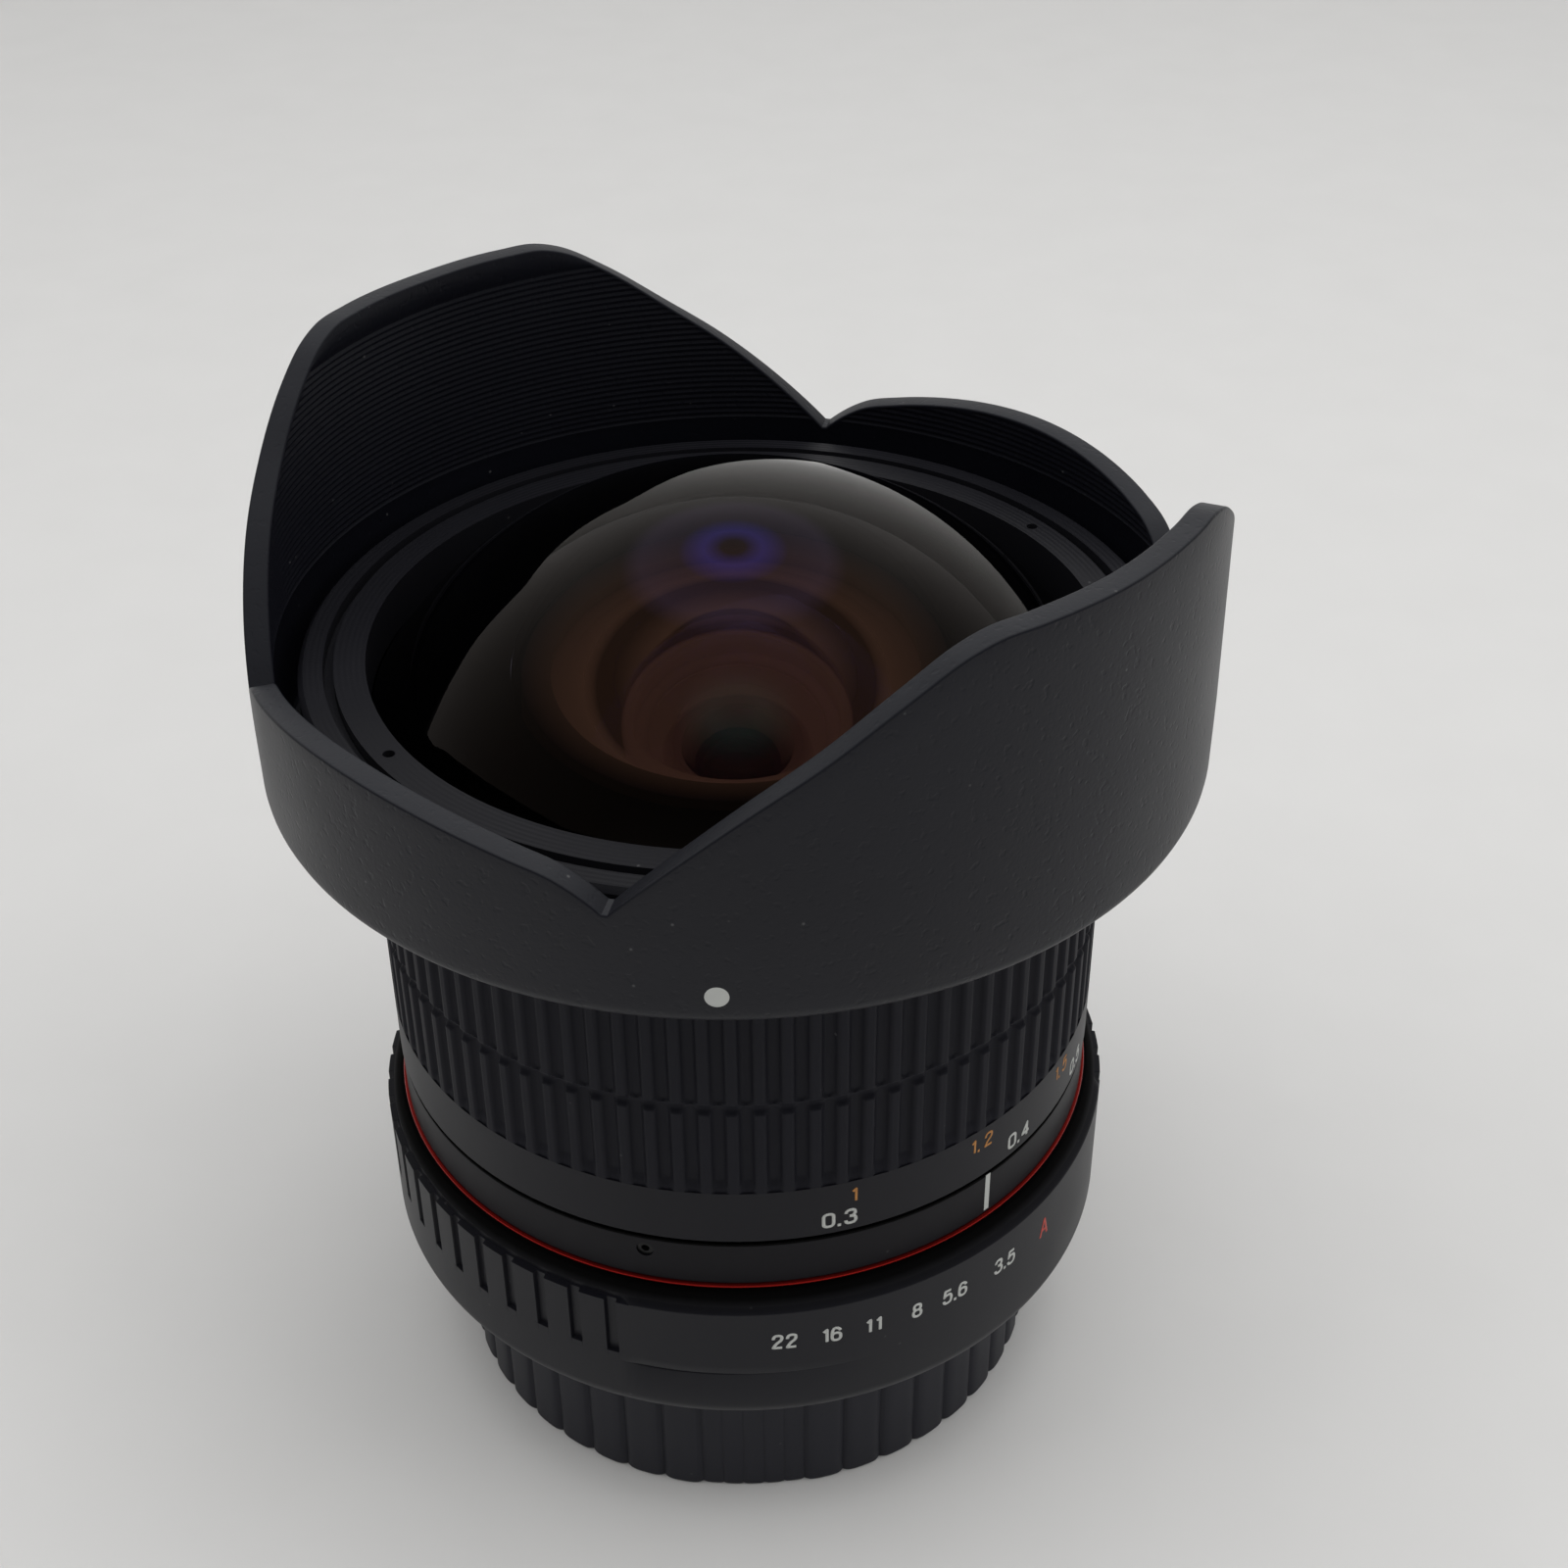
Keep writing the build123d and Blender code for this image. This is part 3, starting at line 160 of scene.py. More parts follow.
def round_surface(radius, level, azimuth):
    """Points at a radius and a level, for azimuths in radians. The arrays broadcast."""
    radius, level, azimuth = np.broadcast_arrays(radius, level, azimuth)
    return np.stack([radius * np.cos(azimuth), radius * np.sin(azimuth), level], axis=-1)


# %% [markdown]
# The hood's rim rises and falls in four petals, two large and two small. Its height is a smooth
# curve through a few chosen heights of a petal, given as shares of the petal's half angle and
# height, so the same short list makes both sides of both petals.

# %% Rim of the hood
notch_height = 10.4 * mm
large_petal_azimuth = 134.2
large_half_angle = 58.0
large_height = 22.3 * mm
small_height = 5.8 * mm
large_shares = ((0, 1), (0.22, 1), (0.31, 0.992), (0.37, 0.955), (0.469, 0.84), (0.614, 0.634),
                (0.76, 0.427), (0.86, 0.263), (0.96, 0.08), (1, 0))
small_shares = ((0, 1), (0.25, 0.95), (0.5, 0.81), (0.67, 0.67), (0.84, 0.47), (0.93, 0.24), (1, 0))


def smooth_through(places, shares):
    """A curve through points, cubic between them, with the slope at each from its neighbours."""
    known_x, known_y = np.array(shares, float).T
    slope = np.gradient(known_y, known_x)
    slope[0] = 0
    index = np.clip(np.searchsorted(known_x, places) - 1, 0, len(known_x) - 2)
    width = known_x[index + 1] - known_x[index]
    t = (places - known_x[index]) / width
    rise = 3 * t ** 2 - 2 * t ** 3
    start_part = t ** 3 - 2 * t ** 2 + t
    end_part = t ** 3 - t ** 2
    return (known_y[index] * (1 - rise) + known_y[index + 1] * rise
            + width * (slope[index] * start_part + slope[index + 1] * end_part))


def rim_height(azimuth):
    """Height of the hood's rim over its foot at azimuths in degrees."""
    from_large = np.abs((azimuth - large_petal_azimuth + 90) % 180 - 90)
    small_half_angle = 90 - large_half_angle
    large = smooth_through(np.clip(from_large / large_half_angle, 0, 1), large_shares)
    small = smooth_through(np.clip((90 - from_large) / small_half_angle, 0, 1), small_shares)
    petal = np.where(from_large < large_half_angle, large * large_height, small * small_height)
    return notch_height + petal


# %% [markdown]
# The hood is one profile carried round the axis. Going round the profile: under the foot, up the
# outer wall, over the rim with its two small round edges, and down the inner wall with its fine
# baffle ribs, which keep stray light off the glass. Only the rows near the rim follow its
# height. The ribs are level, and stop where the rim cuts them off. A rib's shape is a list of
# shares of its pitch, each with how deep the wall is cut there.

# %% Hood
hood_low, hood_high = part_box("lens_hood")
hood_foot = hood_low.z
hood_radius = hood_high.x
hood_wall = 2.2 * mm
hood_lean = 0.55 * mm
outer_lean = 0.8 * hood_lean
hood_straight = 8.0 * mm
hood_flange = 1.6 * mm
hood_flange_bore = 40.35 * mm
foot_inset = 1.55 * mm
rim_round = 0.24 * mm
rib_start = 11.5 * mm
rib_pitch = 0.62 * mm
rib_depth = 0.16 * mm
rib_count = 30
rib_shape = ((0.98, 0), (0.55, 1), (0.4, 1), (0.02, 0))
hood_columns = 560


def hood_points():
    """Grid of the hood: one row for each point of the profile, one column for each azimuth."""
    degrees = np.arange(hood_columns) * 360 / hood_columns
    azimuth = np.radians(degrees)
    rim = rim_height(degrees)
    full = hood_high.z - hood_foot
    rows = []

    def outer(height):
        lean = np.clip((height - hood_straight) / (full - hood_straight), 0, 1)
        return hood_radius - lean * outer_lean

    def inner(height):
        return hood_radius - hood_wall - hood_lean * height / full

    def add(radius, height):
        rows.append(round_surface(radius, hood_foot + height, azimuth))

    add(hood_flange_bore, 0)
    for turn in np.linspace(0, math.pi / 2, 7):
        add(hood_radius - foot_inset * (1 - math.sin(turn)), foot_inset * (1 - math.cos(turn)))
    for share in np.linspace(0.08, 1, 10):
        height = foot_inset + share * (rim - rim_round - foot_inset)
        add(outer(height), height)
    for turn in np.linspace(0.15, 1, 4) * math.pi / 2:
        height = rim - rim_round + rim_round * math.sin(turn)
        add(outer(rim) - rim_round + rim_round * math.cos(turn), height)
    for turn in np.linspace(0, 0.85, 4) * math.pi / 2:
        height = rim - rim_round + rim_round * math.cos(turn)
        add(inner(rim) + rim_round - rim_round * math.sin(turn), height)
    for index in reversed(range(rib_count)):
        low = rib_start + index * rib_pitch
        for step, depth in rib_shape:
            height = np.minimum(low + step * rib_pitch, rim - rim_round)
            cut = np.where(height < rim - 1.5 * rim_round, depth * rib_depth, 0)
            add(inner(height) + cut, height)
    add(inner(hood_flange), np.minimum(rib_start, rim - rim_round) - rib_pitch)
    add(inner(hood_flange), hood_flange + rim_round)
    add(inner(hood_flange) - rim_round, hood_flange)
    add(hood_flange_bore, hood_flange)
    return np.stack(rows)


hood = piece_from_grid("petal_hood", hood_points(), close_rows=True, close_columns=True)
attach(hood, "hood")
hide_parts("lens_hood")

# %% [markdown]
# The grip is a rubber sleeve with two rows of upright ribs. Each groove between two ribs is a
# slot with round ends. How deep the surface lies at a point depends only on the distance to the
# slot's middle line, so one formula makes all of them, with soft edges as moulded rubber has.
# The lower grooves run out towards the foot of the sleeve.

# %% Grip
grip_low, grip_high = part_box("focus_grip")
grip_ribs = 90
grip_first = 2.0
grip_steps = 12
groove_half = 0.62 * mm
groove_soft = 0.36 * mm
groove_depth = 0.6 * mm
grip_wall = 1.58 * mm
row_split = 9.9 * mm
row_gap = 0.5 * mm
channel_share = 0.75
slot_overrun = 3.0 * mm
run_out_heights = (0, 0.4 * mm, 1.2 * mm)
run_out_depths = (0.3, 0.45, 1)


def slot_depth(across, along, low, high):
    """How deep a round-ended slot is at a place, from 0 outside it to 1 inside it."""
    beyond = np.maximum(np.maximum(low + groove_half - along, along - high + groove_half), 0)
    distance = np.hypot(across, beyond)
    share = np.clip((groove_half + groove_soft / 2 - distance) / groove_soft, 0, 1)
    return share ** 2 * (3 - 2 * share)


def grip_points():
    """Grid of the grip: its ribbed outside, and a plain inside.

    Rows crowd where the slots end and at the channel between the two rows of ribs.
    """
    columns = grip_ribs * grip_steps
    azimuth = math.radians(grip_first) + whole_turn(columns)
    radius = grip_high.x
    height = grip_high.z - grip_low.z
    pitch = 2 * math.pi / grip_ribs
    across = ((azimuth - math.radians(grip_first) + pitch / 2) % pitch - pitch / 2) * radius
    fine = groove_half / 4
    levels = np.concatenate([
        np.arange(0, 1.6 * mm, fine),
        [row_split / 2],
        np.arange(row_split - 1.0 * mm, row_split + row_gap + 1.4 * mm, fine),
        [(row_split + height) / 2],
        np.arange(height - 0.9 * mm, height, fine),
        [height],
    ])
    along = levels[:, None]
    lower = slot_depth(across[None, :], along, -slot_overrun, row_split + row_gap)
    upper = slot_depth(across[None, :], along, row_split + row_gap, height + slot_overrun)
    channel_distance = np.abs(along - row_split - row_gap / 2)
    channel = np.clip((row_gap / 2 + groove_soft - channel_distance) / groove_soft, 0, 1)
    run_out = np.interp(along, run_out_heights, run_out_depths)
    depth = np.maximum(np.maximum(lower * run_out, upper), channel * channel_share) * groove_depth
    outside = round_surface(radius - depth, grip_low.z + along, azimuth[None, :])
    inside_levels = np.array([[height], [0.0]])
    inside = round_surface(radius - grip_wall, grip_low.z + inside_levels, azimuth[None, :])
    return np.concatenate([outside, inside])


grip = piece_from_grid("ribbed_grip", grip_points(), close_rows=True, close_columns=True,
                       smooth_angle=60)
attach(grip, "focus")
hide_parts("focus_grip")

# %% [markdown]
# The rear cap is a moulded cup. Its wall is scalloped: 44 wide lobes that meet in creases, and
# five narrow ones in front, where the thumb presses. A lobe is an arch whose depth under the cap's
# full radius grows with a power of the distance from its middle. That keeps the middle flat and
# makes the crease narrow, so every lobe comes from one formula and the creases lie on columns of
# the grid. The cup stands on a narrow rim round a shallow recess.

# %% Rear cap
cap_low, cap_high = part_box("rear_cap")
cap_radius = cap_high.x
cap_bore = cap_radius - 2.0 * mm
cap_floor = 2.0 * mm
thumb_start = -99.75
thumb_end = -80.25
thumb_lobes = 5
wide_lobes = 44
lobe_steps = 14
lobe_power = 4.5
lobe_depth = 0.42 * mm
thumb_rise = 0.14 * mm
foot_round = 0.5 * mm
foot_rim = 3.2 * mm
foot_recess = 0.4 * mm
cap_soft = 0.3 * mm


def lobes(start, end, count, depth, rise):
    """Azimuths of a run of lobes in degrees, and how deep each place lies under the full radius."""
    steps = np.arange(count * lobe_steps)
    from_middle = np.abs((steps % lobe_steps) / lobe_steps * 2 - 1)
    arch = rise * (1 - from_middle ** lobe_power)
    return start + (end - start) * steps / len(steps), depth - arch


def cap_points():
    """Grid of the cap: under its foot from the axis, up its lobed wall, and down inside to the axis."""
    wide = lobes(thumb_end, thumb_start + 360, wide_lobes, lobe_depth, lobe_depth)
    narrow = lobes(thumb_start + 360, thumb_end + 360, thumb_lobes, lobe_depth, thumb_rise)
    azimuth = np.radians(np.concatenate([wide[0], narrow[0]]))
    depth = np.concatenate([wide[1], narrow[1]])
    top = cap_high.z
    rows = []

    def add(radius, level, lobed=0):
        rows.append(round_surface(radius - lobed * depth, level, azimuth))

    add(0, foot_recess)
    add(cap_radius - foot_rim - cap_soft, foot_recess)
    add(cap_radius - foot_rim, 0)
    for turn in np.linspace(0, math.pi / 2, 6):
        add(cap_radius - foot_round * (1 - math.sin(turn)), foot_round * (1 - math.cos(turn)), 1)
    add(cap_radius, top - cap_soft, 1)
    add(cap_radius - cap_soft, top, 1)
    add(cap_bore + cap_soft, top)
    add(cap_bore, top - cap_soft)
    add(cap_bore, cap_floor + cap_soft)
    add(cap_bore - cap_soft, cap_floor)
    add(0, cap_floor)
    return np.stack(rows)


cap = piece_from_grid("lobed_cap", cap_points(), close_columns=True, smooth_angle=40, poles=True)
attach(cap, "cap")
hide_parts("rear_cap")

# %% [markdown]
# The aperture ring is turned, then milled: upright slots cut its upper part into pads, and leave a
# smooth field in front for the numbers. Its surface is one radius for every azimuth and level. The
# slots, the step over the pads and a scribed line are soft steps taken off that radius, so all the
# edges come out slightly rounded, as anodised edges are. Columns crowd at the slots' edges. The
# mount plate lies in the ring's foot, so the bore has a step there.

# %% Aperture ring
ring_low, ring_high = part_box("aperture_ring")
slot_first = -110.5
slot_pitch = 5.88
slot_count = 45
slot_half = 0.56 * mm
slot_soft = 0.14 * mm
slot_deep = 0.45 * mm
pad_columns = (0.27, 0.5, 0.73)
plain_step = 1.2
pad_top = ring_high.z - 1.45 * mm
pad_bottom = ring_high.z - 8.4 * mm
neck_drop = 0.65 * mm
neck_bottom = ring_high.z - 0.8 * mm
neck_lean = 0.85 * mm
foot_fillet = 2.4 * mm
fillet_start = 0.9
scribe_level = 24.9 * mm
scribe_half = 0.14 * mm
scribe_depth = 0.12 * mm
scribe_start = -108.0
scribe_end = -72.0
top_chamfer = 0.06 * mm
plate_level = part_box("mount_plate")[1].z + 0.05 * mm
plate_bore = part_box("mount_plate")[1].x + 0.2 * mm
ring_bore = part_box("rear_barrel")[1].x + 0.05 * mm


def soft_step(distance, width):
    """From 0 to 1 while a distance goes from minus half the width to plus half of it."""
    share = np.clip(distance / width + 0.5, 0, 1)
    return share ** 2 * (3 - 2 * share)


def ring_azimuths():
    """Azimuths of the columns in degrees: close together at the slots' edges, then even."""
    edge = np.linspace(-slot_soft / 2, slot_soft / 2, 5)
    at_slot = np.degrees(np.concatenate([edge - slot_half, edge + slot_half]) / ring_high.x)
    on_pad = np.array(pad_columns) * slot_pitch
    one_slot = np.concatenate([at_slot, on_pad])
    starts = slot_first - slot_pitch * np.arange(slot_count - 1, -1, -1)
    slots = (starts[:, None] + one_slot[None, :]).ravel()
    plain = np.arange(slots[-1] + plain_step, slots[0] + 360 - plain_step / 2, plain_step)
    return np.concatenate([slots, plain])


def ring_points():
    """Grid of the ring: up its outside, over the top, and down the stepped bore."""
    degrees = ring_azimuths()
    azimuth = np.radians(degrees)
    full = ring_high.x
    from_slot = (degrees - slot_first + slot_pitch / 2) % slot_pitch - slot_pitch / 2
    across = np.abs(np.radians(from_slot)) * full
    pads = (degrees < slot_first + slot_pitch / 3).astype(float)
    fading = np.interp(degrees, (scribe_start, scribe_start + 1, scribe_end), (0, 1, 0))
    scribe = fading * scribe_depth
    rows = []

    def outside(level, drop=0.0):
        slot = soft_step(slot_half - across, slot_soft) * pads
        slot = slot * soft_step(level - pad_bottom, slot_soft)
        step = soft_step(level - pad_top, slot_soft)
        slope = soft_step(level - (pad_top + neck_bottom) / 2, neck_bottom - pad_top)
        line = scribe * np.clip(1 - abs(level - scribe_level) / scribe_half, 0, 1)
        neck = neck_drop * (pads * step + (1 - pads) * slope)
        surface = full - np.maximum(slot * slot_deep, neck) - line - drop
        rows.append(round_surface(surface, level, azimuth))

    for turn in np.linspace(fillet_start, math.pi / 2, 7):
        rise = foot_fillet * (math.cos(fillet_start) - math.cos(turn))
        outside(ring_low.z + rise, foot_fillet * (1 - math.sin(turn)))
    for level in scribe_level + np.array([-1, -0.5, 0, 0.5, 1]) * scribe_half:
        outside(level)
    for middle in (pad_bottom, pad_top):
        for level in middle + np.linspace(-0.5, 0.5, 5) * slot_soft:
            outside(level)
    for level in np.linspace(pad_top + slot_soft, neck_bottom, 7):
        outside(level)
    outside(ring_high.z - top_chamfer, 0.93 * neck_lean)
    for radius, level in (
        (full - neck_drop - neck_lean - 0.1 * mm, ring_high.z),
        (ring_bore, ring_high.z),
        (ring_bore, plate_level),
        (plate_bore, plate_level),
        (plate_bore, ring_low.z),
    ):
        rows.append(round_surface(radius, level, azimuth))
    return np.stack(rows)


slotted = piece_from_grid("slotted_ring", ring_points(), close_rows=True, close_columns=True,
                          smooth_angle=50)
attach(slotted, "aperture")
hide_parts("aperture_ring")

# %% [markdown]
# The thin red ring has a rounded nose, which is what catches the light as a bright line. A washer
# with a bevelled edge would nearly do, but half a circle is as easy to write in a profile.

# %% Red ring
red_low, red_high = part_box("red_ring")
nose = (red_high.z - red_low.z) / 2


def nose_points():
    """Grid of the ring: a flat washer whose outer edge is half a circle."""
    turn = np.linspace(-math.pi / 2, math.pi / 2, 9)
    radii = np.concatenate([red_high.x - nose * (1 - np.cos(turn)), [ring_bore, ring_bore]])
    levels = np.concatenate([red_low.z + nose * (1 + np.sin(turn)), [red_high.z, red_low.z]])
    return round_surface(radii[:, None], levels[:, None], whole_turn(360))


nose_ring = piece_from_grid("nose_ring", nose_points(), close_rows=True, close_columns=True)
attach(nose_ring, "barrel")
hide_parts("red_ring")

# %% [markdown]
# Numbers and lines are paint that fills a shallow engraving. Blender's text object could write
# them, but its letters aren't those of an engraving tool, which draws every number as strokes of one
# width. So each number is a few strokes on a grid four wide and six high: a stroke is a smooth
# curve drawn towards its points, a point given twice makes a corner, and True closes the curve.

# %% Strokes of the numbers
number_strokes = {
    "0": [(True, ((0, 0), (4, 0), (4, 3), (4, 6), (0, 6), (0, 3)))],
    "1": [(False, ((0.9, 4.8), (2.4, 6), (2.4, 6), (2.4, 0)))],
    "2": [(False, ((0.1, 4.3), (0.1, 6.1), (3.9, 6.2), (3.9, 3.8), (1.4, 2.2), (0, 0), (0, 0),
                   (4, 0)))],
    "3": [(False, ((0.1, 4.7), (0.2, 6.1), (3.8, 6.2), (3.8, 3.2), (1.5, 3.2))),
          (False, ((1.5, 3.2), (4.1, 3.2), (4.1, -0.1), (0, -0.2), (0, 1.4)))],
    "4": [(False, ((3, 0), (3, 6), (3, 6), (0, 1.6), (0, 1.6), (4.3, 1.6)))],
    "5": [(False, ((3.7, 6), (0.7, 6), (0.7, 6), (0.3, 3), (0.3, 3), (1, 3.9), (4.1, 4.1), (4.1, -0.1),
                   (0, -0.3), (0, 1.3)))],
    "6": [(True, ((0, 0), (4, 0), (4, 3.7), (0, 3.7))),
          (False, ((0, 1.9), (-0.1, 6), (3, 6.3), (3.9, 4.8)))],
    "7": [(False, ((0, 6), (4, 6), (4, 6), (1.4, 0)))],
    "8": [(True, ((0, 0), (4, 0), (4, 3.2), (0, 3.2))),
          (True, ((0.3, 3.2), (3.7, 3.2), (3.7, 6), (0.3, 6)))],
    "A": [(False, ((0, 0), (2, 6))), (False, ((4, 0), (2, 6))), (False, ((0.7, 2), (3.3, 2)))],
    ".": [(False, ((0, -0.6), (0, 0.6)))],
}
narrow_widths = {"1": 2.4, ".": 0}
stroke_gap = 2.3
paint_rise = 0.03 * mm


def number_curve(name, text, unit, stretch, pen, dot_room):
    """Strokes of a number one after another, as a curve with a round section as wide as the pen."""
    curve = bpy.data.curves.new(name, "CURVE")
    curve.dimensions = "3D"
    curve.bevel_depth = pen / 2
    curve.bevel_resolution = 1
    curve.resolution_u = 5
    curve.use_fill_caps = True
    start = 0
    for character in text:
        for closed, points in number_strokes[character]:
            spline = curve.splines.new("NURBS")
            spline.points.add(len(points) - 1)
            flat = [((start + x) * unit * stretch, (y - 3) * unit, 0, 1) for x, y in points]
            spline.points.foreach_set("co", np.array(flat).reshape(-1))
            spline.order_u = min(3, len(points))
            spline.use_endpoint_u = not closed
            spline.use_cyclic_u = closed
        start += narrow_widths.get(character, 4) + stroke_gap
        if character == ".":
            start += dot_room
    return curve, (start - stroke_gap) * unit * stretch


def wrapped(mesh, azimuth, radius, level):
    """Bends a flat mesh round a ring: x becomes an angle, y a level and z a distance outwards."""
    flat = np.empty(len(mesh.vertices) * 3)
    mesh.vertices.foreach_get("co", flat)
    flat = flat.reshape(-1, 3)
    turn = math.radians(azimuth) + flat[:, 0] / radius
    points = round_surface(radius + flat[:, 2], level + flat[:, 1], turn)
    mesh.vertices.foreach_set("co", points.reshape(-1))
    mesh.update()


def ring_radius(node):
    """Outer radius of a round node."""
    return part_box(node)[1].x


def label(name, text, azimuth, node, height, size, body, slot,
          stretch=0.78, pen=0.33 * mm, dot_room=0.0):
    """A number painted on a ring, centred on an azimuth, at a height over the node's foot."""
    curve, width = number_curve(name, text, size / 6, stretch, pen, dot_room)
    flat = linked(name + "_flat", curve)
    bpy.context.view_layer.update()
    final = flat.evaluated_get(bpy.context.evaluated_depsgraph_get())
    mesh = bpy.data.meshes.new_from_object(final)
    bpy.data.objects.remove(flat)
    mesh.transform(Matrix.Translation((-width / 2, 0, 0)))
    mesh.transform(Matrix.Diagonal((1, 1, paint_rise / (pen / 2), 1)))
    wrapped(mesh, azimuth, ring_radius(node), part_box(node)[0].z + height)
    mesh.name = name
    piece = linked(name, mesh)
    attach(piece, body)
    return piece


# %% [markdown]
# The index line and the hood's dot are paint too. Flat cards on the wall would have no back, so
# each is a thin closed shell that follows the ring's curve.

# %% Lines and dots
def stroke(name, azimuth, width, node, low_height, high_height, body):
    """An upright painted line on a ring."""
    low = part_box(node)[0]
    radius = ring_radius(node)
    across = np.linspace(-width / 2, width / 2, 4) / radius + math.radians(azimuth)
    levels = low.z + np.array([low_height, high_height])
    front = round_surface(radius + paint_rise, levels[:, None], across[None, :])
    back = round_surface(radius - paint_rise, levels[::-1, None], across[None, :])
    piece = piece_from_grid(name, np.concatenate([front, back]), close_rows=True)
    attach(piece, body)
    return piece


def dot(name, azimuth, level, radius, wall_radius, body):
    """A round painted dot: two shallow discs, back to back, bent round the wall."""
    turn = whole_turn(48)
    sizes = np.array([0, 0.6, 0.93, 1, 1, 0.6, 0]) * radius
    rises = np.array([1, 1, 1, 0.4, -1, -1, -1]) * paint_rise
    across = sizes[:, None] * np.cos(turn)
    along = sizes[:, None] * np.sin(turn)
    around = math.radians(azimuth) + across / wall_radius
    points = round_surface(wall_radius + rises[:, None], level + along, around)
    piece = piece_from_grid(name, points, close_columns=True, poles=True)
    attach(piece, body)
    return piece


# %% [markdown]
# The scales: stops on the aperture ring, metres and feet on the focus ring. A distance scale isn't
# even, so each number has its own azimuth, as read from the photograph. The side that it doesn't
# show goes on in the usual steps.

# %% Scales
stops = (("22", -85.2), ("16", -78.4), ("11", -72.1), ("8", -65.0), ("5.6", -58.4), ("3.5", -48.5))
metres = (("0.3", -76.4), ("0.4", -43.0), ("0.5", -22.9), ("0.7", 0.0), ("1", 17.2), ("2", 37.2))
feet = (("1", -74.3), ("1.2", -51.9), ("1.5", -30.4), ("2", -8.5), ("3", 13.4), ("5", 31.0))


def scale(prefix, numbers, **place):
    """The numbers of one scale, each a text and an azimuth. The rest is the same for all."""
    return [label(prefix + text.replace(".", "_"), text, azimuth, **place) for text, azimuth in numbers]


white_marks = scale("stop_", stops, node="aperture_ring", height=10.1 * mm, size=1.62 * mm,
                    body="aperture", slot="white_paint")
red_mark = label("stop_auto", "A", -38.8, "aperture_ring", 10.0 * mm, 2.3 * mm, "aperture", "red_trim")
white_marks += scale("metres_", metres, node="focus_ring", height=1.65 * mm, size=1.58 * mm,
                     body="focus", slot="white_paint", stretch=0.9, pen=0.35 * mm, dot_room=0.3)
orange_marks = scale("feet_", feet, node="focus_ring", height=4.3 * mm, size=1.5 * mm,
                     body="focus", slot="orange_paint", stretch=0.84, pen=0.27 * mm, dot_room=1.8)

index_azimuth = -49.9
index_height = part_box("index_ring")[1].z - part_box("index_ring")[0].z
white_marks.append(stroke("index_line", index_azimuth, 0.62 * mm, "index_ring", 0.3 * mm,
                          index_height - 0.1 * mm, "barrel"))
hood_mark = dot("hood_mark", -92.7, 77.6 * mm, 1.0 * mm, hood_radius, "hood")
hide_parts("hood_dot")
white_marks.append(hood_mark)
print("marks", len(white_marks) + len(orange_marks) + 1)

# %% [markdown]
# The glass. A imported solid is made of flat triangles, which is fine for a matt ring, but glass
# shows every one of them in its reflections. So each element is drawn again as two spherical
# faces and a ground edge, turned round the axis with enough rows that no facet shows. A face is
# known by its rim and by its sag, how far its middle stands over the rim. The table gives each
# element's edge height, upper sag, lower rim (none where the face reaches the edge) and lower sag.

# %% Glass
glass_shapes = {
    "element_01": (3.0, 19.0, 17.8, 14.5),
    "element_02": (3.5, 5.9, 10.5, 7.6),
    "element_03": (5.56, -0.76, 9.0, 3.3),
    "element_04": (1.05, 2.2, None, -2.95),
    "element_05": (4.55, -2.95, None, -0.9),
    "element_06": (0.7, 0.76, None, -2.77),
    "element_07": (3.3, -2.77, None, -0.95),
    "element_08": (0.8, 1.08, None, -3.33),
    "element_09": (3.9, -3.33, None, -0.91),
    "element_10": (1.35, 1.88, None, -0.79),
}
glass_columns = 192
face_rows = 32
ground_bevel = 0.12 * mm


def face_line(rim, rim_level, sag):
    """Radii and levels of a spherical face, from the axis to its rim, at equal angles.

    The sphere through the rim and the middle has the radius (rim squared plus sag squared) over
    twice the sag.
    """
    sphere = (rim ** 2 + sag ** 2) / (2 * abs(sag))
    turn = np.linspace(0, math.asin(rim / sphere), face_rows)
    drop = sphere * (1 - np.cos(turn))
    return sphere * np.sin(turn), rim_level + sag - math.copysign(1, sag) * drop


def glass_points(node, edge, top_sag, bottom_rim, bottom_sag):
    """Grid of a lens: along its lower face from the axis, up its edge, and back over the upper face."""
    low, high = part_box(node)
    radius = high.x
    seat = low.z - min(bottom_sag, 0)
    top_radii, top_levels = face_line(radius - ground_bevel, seat + edge, top_sag)
    bottom_radii, bottom_levels = face_line(bottom_rim or radius - ground_bevel, seat, bottom_sag)
    radii = [top_radii, [radius, radius]]
    levels = [top_levels, [seat + edge - ground_bevel, seat + ground_bevel]]
    if bottom_rim:
        radii.append([radius - ground_bevel])
        levels.append([seat])
    radii.append(bottom_radii[::-1])
    levels.append(bottom_levels[::-1])
    radii = np.concatenate(radii)[::-1, None]
    levels = np.concatenate(levels)[::-1, None]
    return round_surface(radii, levels, whole_turn(glass_columns))


glass = {}
for node, (edge, top_sag, bottom_rim, bottom_sag) in glass_shapes.items():
    rim = bottom_rim * mm if bottom_rim else None
    points = glass_points(node, edge * mm, top_sag * mm, rim, bottom_sag * mm)
    piece = piece_from_grid("glass_" + node[-2:], points, close_columns=True, poles=True)
    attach(piece, "optics")
    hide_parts(node)
    glass[node] = piece

# %% [markdown]
# The ground edge of a lens is painted black before it goes into its cell, or light that enters
# near the rim would run round inside the glass and come out again as bright arcs. The paint is
# drawn just under the glass surface, along the flat land and up the edge.

# %% Blackened edges
paint_under = 0.03 * mm
paint_thick = 0.05 * mm
paint_start = 0.01 * mm


